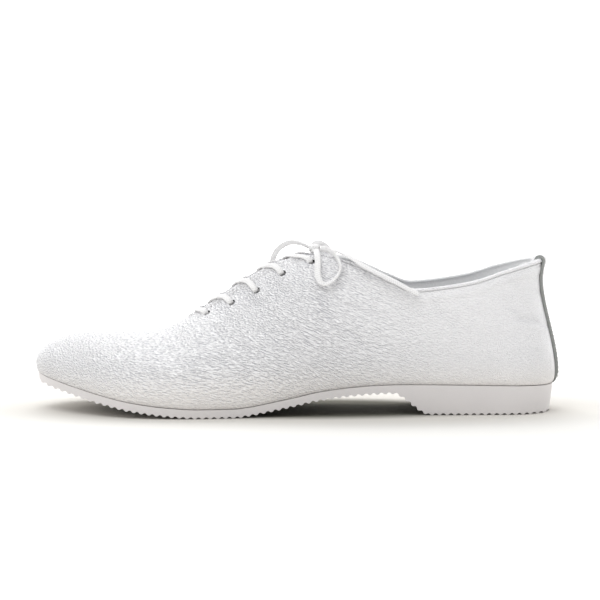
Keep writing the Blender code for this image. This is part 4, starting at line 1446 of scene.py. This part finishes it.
def side_profile():
    """The sole's side view: soft ripples along the tread, then back over the top."""
    reach = 6 * MM
    xs = np.arange(HEEL_BACK + reach, HEEL_BACK - SOLE_LENGTH - reach, -0.2 * MM)
    line = np.array([[x, tread_line(x)] for x in xs])
    lengths = run_lengths(line)
    lengths -= np.interp(0, -line[:, 0], lengths)

    def on_line(length, depth):
        nearby = np.array([-0.5 * MM, 0, 0.5 * MM]) + length
        here, place, following = at_lengths(nearby, lengths, line)
        way = unit(following - here)
        return place + np.array([way[1], -way[0]]) * depth

    tread = []
    first = math.ceil((lengths[0] + RIPPLE_PITCH) / RIPPLE_PITCH)
    last = math.floor((lengths[-1] - RIPPLE_PITCH) / RIPPLE_PITCH)
    for count in range(first, last):
        for k in range(RIPPLE_POINTS):
            share = k / RIPPLE_POINTS
            wave = (1 - math.cos(2 * math.pi * share)) / 2
            wave = clamp((wave - RIPPLE_FLAT) / (1 - 2 * RIPPLE_FLAT))
            tread.append(on_line((count + share) * RIPPLE_PITCH, RIPPLE_DEPTH * wave))
    tops = np.linspace(tread[-1][0] - RIPPLE_PITCH, tread[0][0] + RIPPLE_PITCH, 160)
    return tread + [np.array([x, sole_top(x)]) for x in tops]


def make_outsole():
    profile = side_profile()
    bm = bmesh.new()
    loft(bm, [[(x, y, z) for x, z in profile] for y in (-BALL_WIDTH, BALL_WIDTH)])
    outsole = from_bmesh("outsole_rubber", bm, rubber)
    bm = bmesh.new()
    rings = []
    for level in OUTLINE_LEVELS:
        turns = np.arange(2 * EDGE_POINTS) / EDGE_POINTS
        insets = [SIDE_SLOPE * (sole_top(edge_point(turn)[0]) - level) for turn in turns]
        rings.append([(*edge_inset(turn, inset), level) for turn, inset in zip(turns, insets)])
    loft(bm, rings)
    outline = from_bmesh("outline", bm)
    cut(outsole, outline, "INTERSECT")
    make_real(outsole, sharp=40)
    bpy.data.objects.remove(outline)
    settle(outsole, "off_white_rubber", "outsole")
    print("outsole:", len(outsole.data.polygons), "faces")


make_outsole()

# %% [markdown]
# ## Insole
#
# A thin canvas sock covers the sole inside.

# %% Insole
INSOLE_THICKNESS = 2 * MM


def make_insole():
    inset = FEATHER_INSET + LEATHER / 2 + GAP
    grid = []
    for i in range(141):
        turn = i / 140
        left, right = edge_inset(turn, inset), edge_inset(2 - turn, inset)
        row = [left * (1 - share) + right * share for share in np.linspace(0, 1, 25)]
        grid.append([(x, y, sole_top(x) + GAP) for x, y in row])
    made = sheet("insole_canvas", grid, INSOLE_THICKNESS, 1, canvas)
    settle(made, "grey_lining", "insole")


make_insole()

# %% [markdown]
# ## Stitching
#
# A row of stitches is one small capsule set again and again along a seam, which is what Geometry
# Nodes are for. The tree takes a seam curve, resamples it at the stitch pitch and turns a capsule
# along the seam at each point. Its three sizes are named inputs.

# %% Stitch tree
STITCH_SIZES = {"Pitch": 2.1 * MM, "Length": 1.55 * MM, "Thickness": 0.45 * MM}


def stitch_tree():
    tree = bpy.data.node_groups.new("Stitches", "GeometryNodeTree")
    face = tree.interface
    face.new_socket("Geometry", in_out="INPUT", socket_type="NodeSocketGeometry")
    for name in STITCH_SIZES:
        face.new_socket(name, in_out="INPUT", socket_type="NodeSocketFloat")
    face.new_socket("Geometry", in_out="OUTPUT", socket_type="NodeSocketGeometry")

    def node(kind, settings=None, **inputs):
        made = tree.nodes.new(kind)
        for name, value in (settings or {}).items():
            setattr(made, name, value)
        for name, value in inputs.items():
            if isinstance(value, bpy.types.NodeSocket):
                tree.links.new(value, made.inputs[name])
            else:
                made.inputs[name].default_value = value
        return made.outputs

    start = node("NodeGroupInput")
    even = node("GeometryNodeResampleCurve", {"mode": "LENGTH"},
                Curve=start["Geometry"], Length=start["Pitch"])
    points = node("GeometryNodeCurveToPoints", {"mode": "EVALUATED"}, Curve=even["Curve"])
    ball = node("GeometryNodeMeshUVSphere", Segments=8, Rings=6, Radius=0.5)
    size = node("ShaderNodeCombineXYZ", X=start["Thickness"], Y=start["Thickness"],
                Z=start["Length"])
    capsule = node("GeometryNodeTransform", Geometry=ball["Mesh"], Scale=size["Vector"])
    turn = node("FunctionNodeAlignRotationToVector", {"axis": "Z"}, Vector=points["Tangent"])
    placed = node("GeometryNodeInstanceOnPoints", Points=points["Points"],
                  Instance=capsule["Geometry"], Rotation=turn["Rotation"])
    real = node("GeometryNodeRealizeInstances", Geometry=placed["Instances"])
    smooth = node("GeometryNodeSetShadeSmooth", Geometry=real["Geometry"])
    sewn = node("GeometryNodeSetMaterial", Geometry=smooth["Geometry"], Material=thread)
    node("NodeGroupOutput", Geometry=sewn["Geometry"])
    return tree


STITCHES = stitch_tree()


def sew(name, seams):
    """A row of stitches along each seam, as one mesh."""
    curve = bpy.data.curves.new(name, "CURVE")
    curve.dimensions = "3D"
    for seam in seams:
        spline = curve.splines.new("POLY")
        spline.points.add(len(seam) - 1)
        for point, place in zip(spline.points, seam):
            point.co = (*place, 1)
    carrier = bpy.data.objects.new(name + "_seam", curve)
    scene.collection.objects.link(carrier)
    sewing = carrier.modifiers.new("Stitches", "NODES")
    sewing.node_group = STITCHES
    for socket in STITCHES.interface.items_tree:
        if socket.name in STITCH_SIZES:
            sewing[socket.identifier] = STITCH_SIZES[socket.name]
    mesh = evaluated_mesh(carrier)
    mesh.name = name
    bpy.data.objects.remove(carrier)
    settle(add(name, mesh), "white_leather")
    print(f"{name}: {len(mesh.polygons)} faces")


# %% [markdown]
# Two rows run down each flap and meet round the foot of the throat, and one runs up beside each
# edge of the strap.

# %% Seams
THROAT_SEAM_INSETS = (2.0 * MM, 4.4 * MM)
STRAP_SEAM_INSET = 1.6 * MM


def throat_seam(inset):
    """A seam at one distance from the throat's edge, on each of the two flaps."""
    lines = np.linspace(THROAT_TOP, THROAT_BASE + 0.12, 110)
    sides = []
    for side_lines in (lines, RING - lines):
        frames = [skin_frame(line, rise_below(line, inset)) for line in side_lines]
        sides.append([place + out * 0.02 * MM for place, out, _ in frames])
    return sides


def strap_seams():
    seams = []
    for side in (-STRAP_WIDTH / 2 + STRAP_SEAM_INSET, STRAP_WIDTH / 2 - STRAP_SEAM_INSET):
        beds = [strap_bed(rise, side) for rise in np.linspace(0.8, 1.9, 70)]
        seams.append([place + out * (lift + STRAP_THICKNESS) for place, out, lift, _ in beds])
    return seams


sew("throat_stitches", [seam for inset in THROAT_SEAM_INSETS for seam in throat_seam(inset)])
sew("strap_stitches", strap_seams())

# %% [markdown]
# ## Studio
#
# The shoe stands on a seamless white floor in an even white light, so that only the foot of the
# shoe throws a soft shadow. A large soft light above and behind lays that shadow in front of the
# sole, and a smaller one above and in front rakes down the leather, so that the grain shows.

# %% Studio
FLOOR_GLOW_FROM, FLOOR_GLOW_TO = 130, 520
FLOOR_MIDDLE, FLOOR_REACH = (-91, 0), (112, 46)
LIT_PLACE = (-0.09, 0, 0.03)


def stage_sheet(name, corners, finish):
    mesh = bpy.data.meshes.new(name)
    mesh.from_pydata(corners, [], [(0, 1, 2, 3)])
    made = add(name, mesh, finish)
    return made


def make_floor():
    """White paper, with a painted tone under and round the shoe that stands for its contact
    shade. Far from the shoe it glows, as a lit backdrop does, so that no horizon shows."""
    paper = Finish("white_paper", Roughness=0.9, Specular_IOR_Level=0.05, Emission_Strength=0.9)
    place = paper.place()
    x, y, _ = paper.axes(place)
    grain = paper.noise(place, 400, 2.0)
    far = ((x + 90) * (x + 90) * 0.5 + y * y).math("SQRT").above(FLOOR_GLOW_FROM, FLOOR_GLOW_TO)
    across, out = (((part - middle) / reach) ** 2.0
                   for part, middle, reach in zip((x, y), FLOOR_MIDDLE, FLOOR_REACH))
    round_shoe = (across + out).math("SQRT") + grain * 0.04
    deep = paper.mix(round_shoe.above(0.6, 1.02), (0.16, 0.155, 0.13), (0.68, 0.66, 0.62))
    paper.set("Base Color", paper.mix(round_shoe.above(0.95, 1.9), deep, (0.80, 0.79, 0.765)))
    paper.set("Emission Color", paper.mix(far, (0, 0, 0), (1, 1, 1)))
    made = stage_sheet("floor", [(-6, -6, 0), (6, -6, 0), (6, 6, 0), (-6, 6, 0)], paper.material)
    made.location.z = -0.05 * MM


def make_backdrop():
    lit = Finish("lit_backdrop", Base_Color=(0.9, 0.9, 0.9, 1), Roughness=1.0,
                 Emission_Strength=1.15)
    cloud = lit.noise(lit.place(), 0.5, 1.0)
    lit.set("Emission Color", lit.mix(cloud, (1, 1, 1), (0.98, 0.98, 0.98)))
    stage_sheet("backdrop", [(-6, 3, -1), (6, 3, -1), (6, 3, 5), (-6, 3, 5)], lit.material)


def soft_light(name, place, target, size, power):
    light = bpy.data.lights.new(name, "AREA")
    light.shape = "SQUARE"
    light.size = size
    light.energy = power
    made = bpy.data.objects.new(name, light)
    made.location = place
    way = Vector(place) - Vector(target)
    made.rotation_euler = way.to_track_quat("Z", "Y").to_euler()
    scene.collection.objects.link(made)


def make_world():
    world = bpy.data.worlds.new("white_room")
    world.use_nodes = True
    backdrop = world.node_tree.nodes["Background"]
    backdrop.inputs["Color"].default_value = (0.985, 0.99, 1.0, 1)
    backdrop.inputs["Strength"].default_value = 0.70
    scene.world = world


make_floor()
make_backdrop()
make_world()
soft_light("top_light", (-0.25, 0.72, 1.05), LIT_PLACE, 0.7, 4.2)
soft_light("grain_light", (-0.4, -0.5, 1.1), LIT_PLACE, 0.9, 5.4)
scene.view_settings.view_transform = "Standard"
scene.view_settings.look = "None"
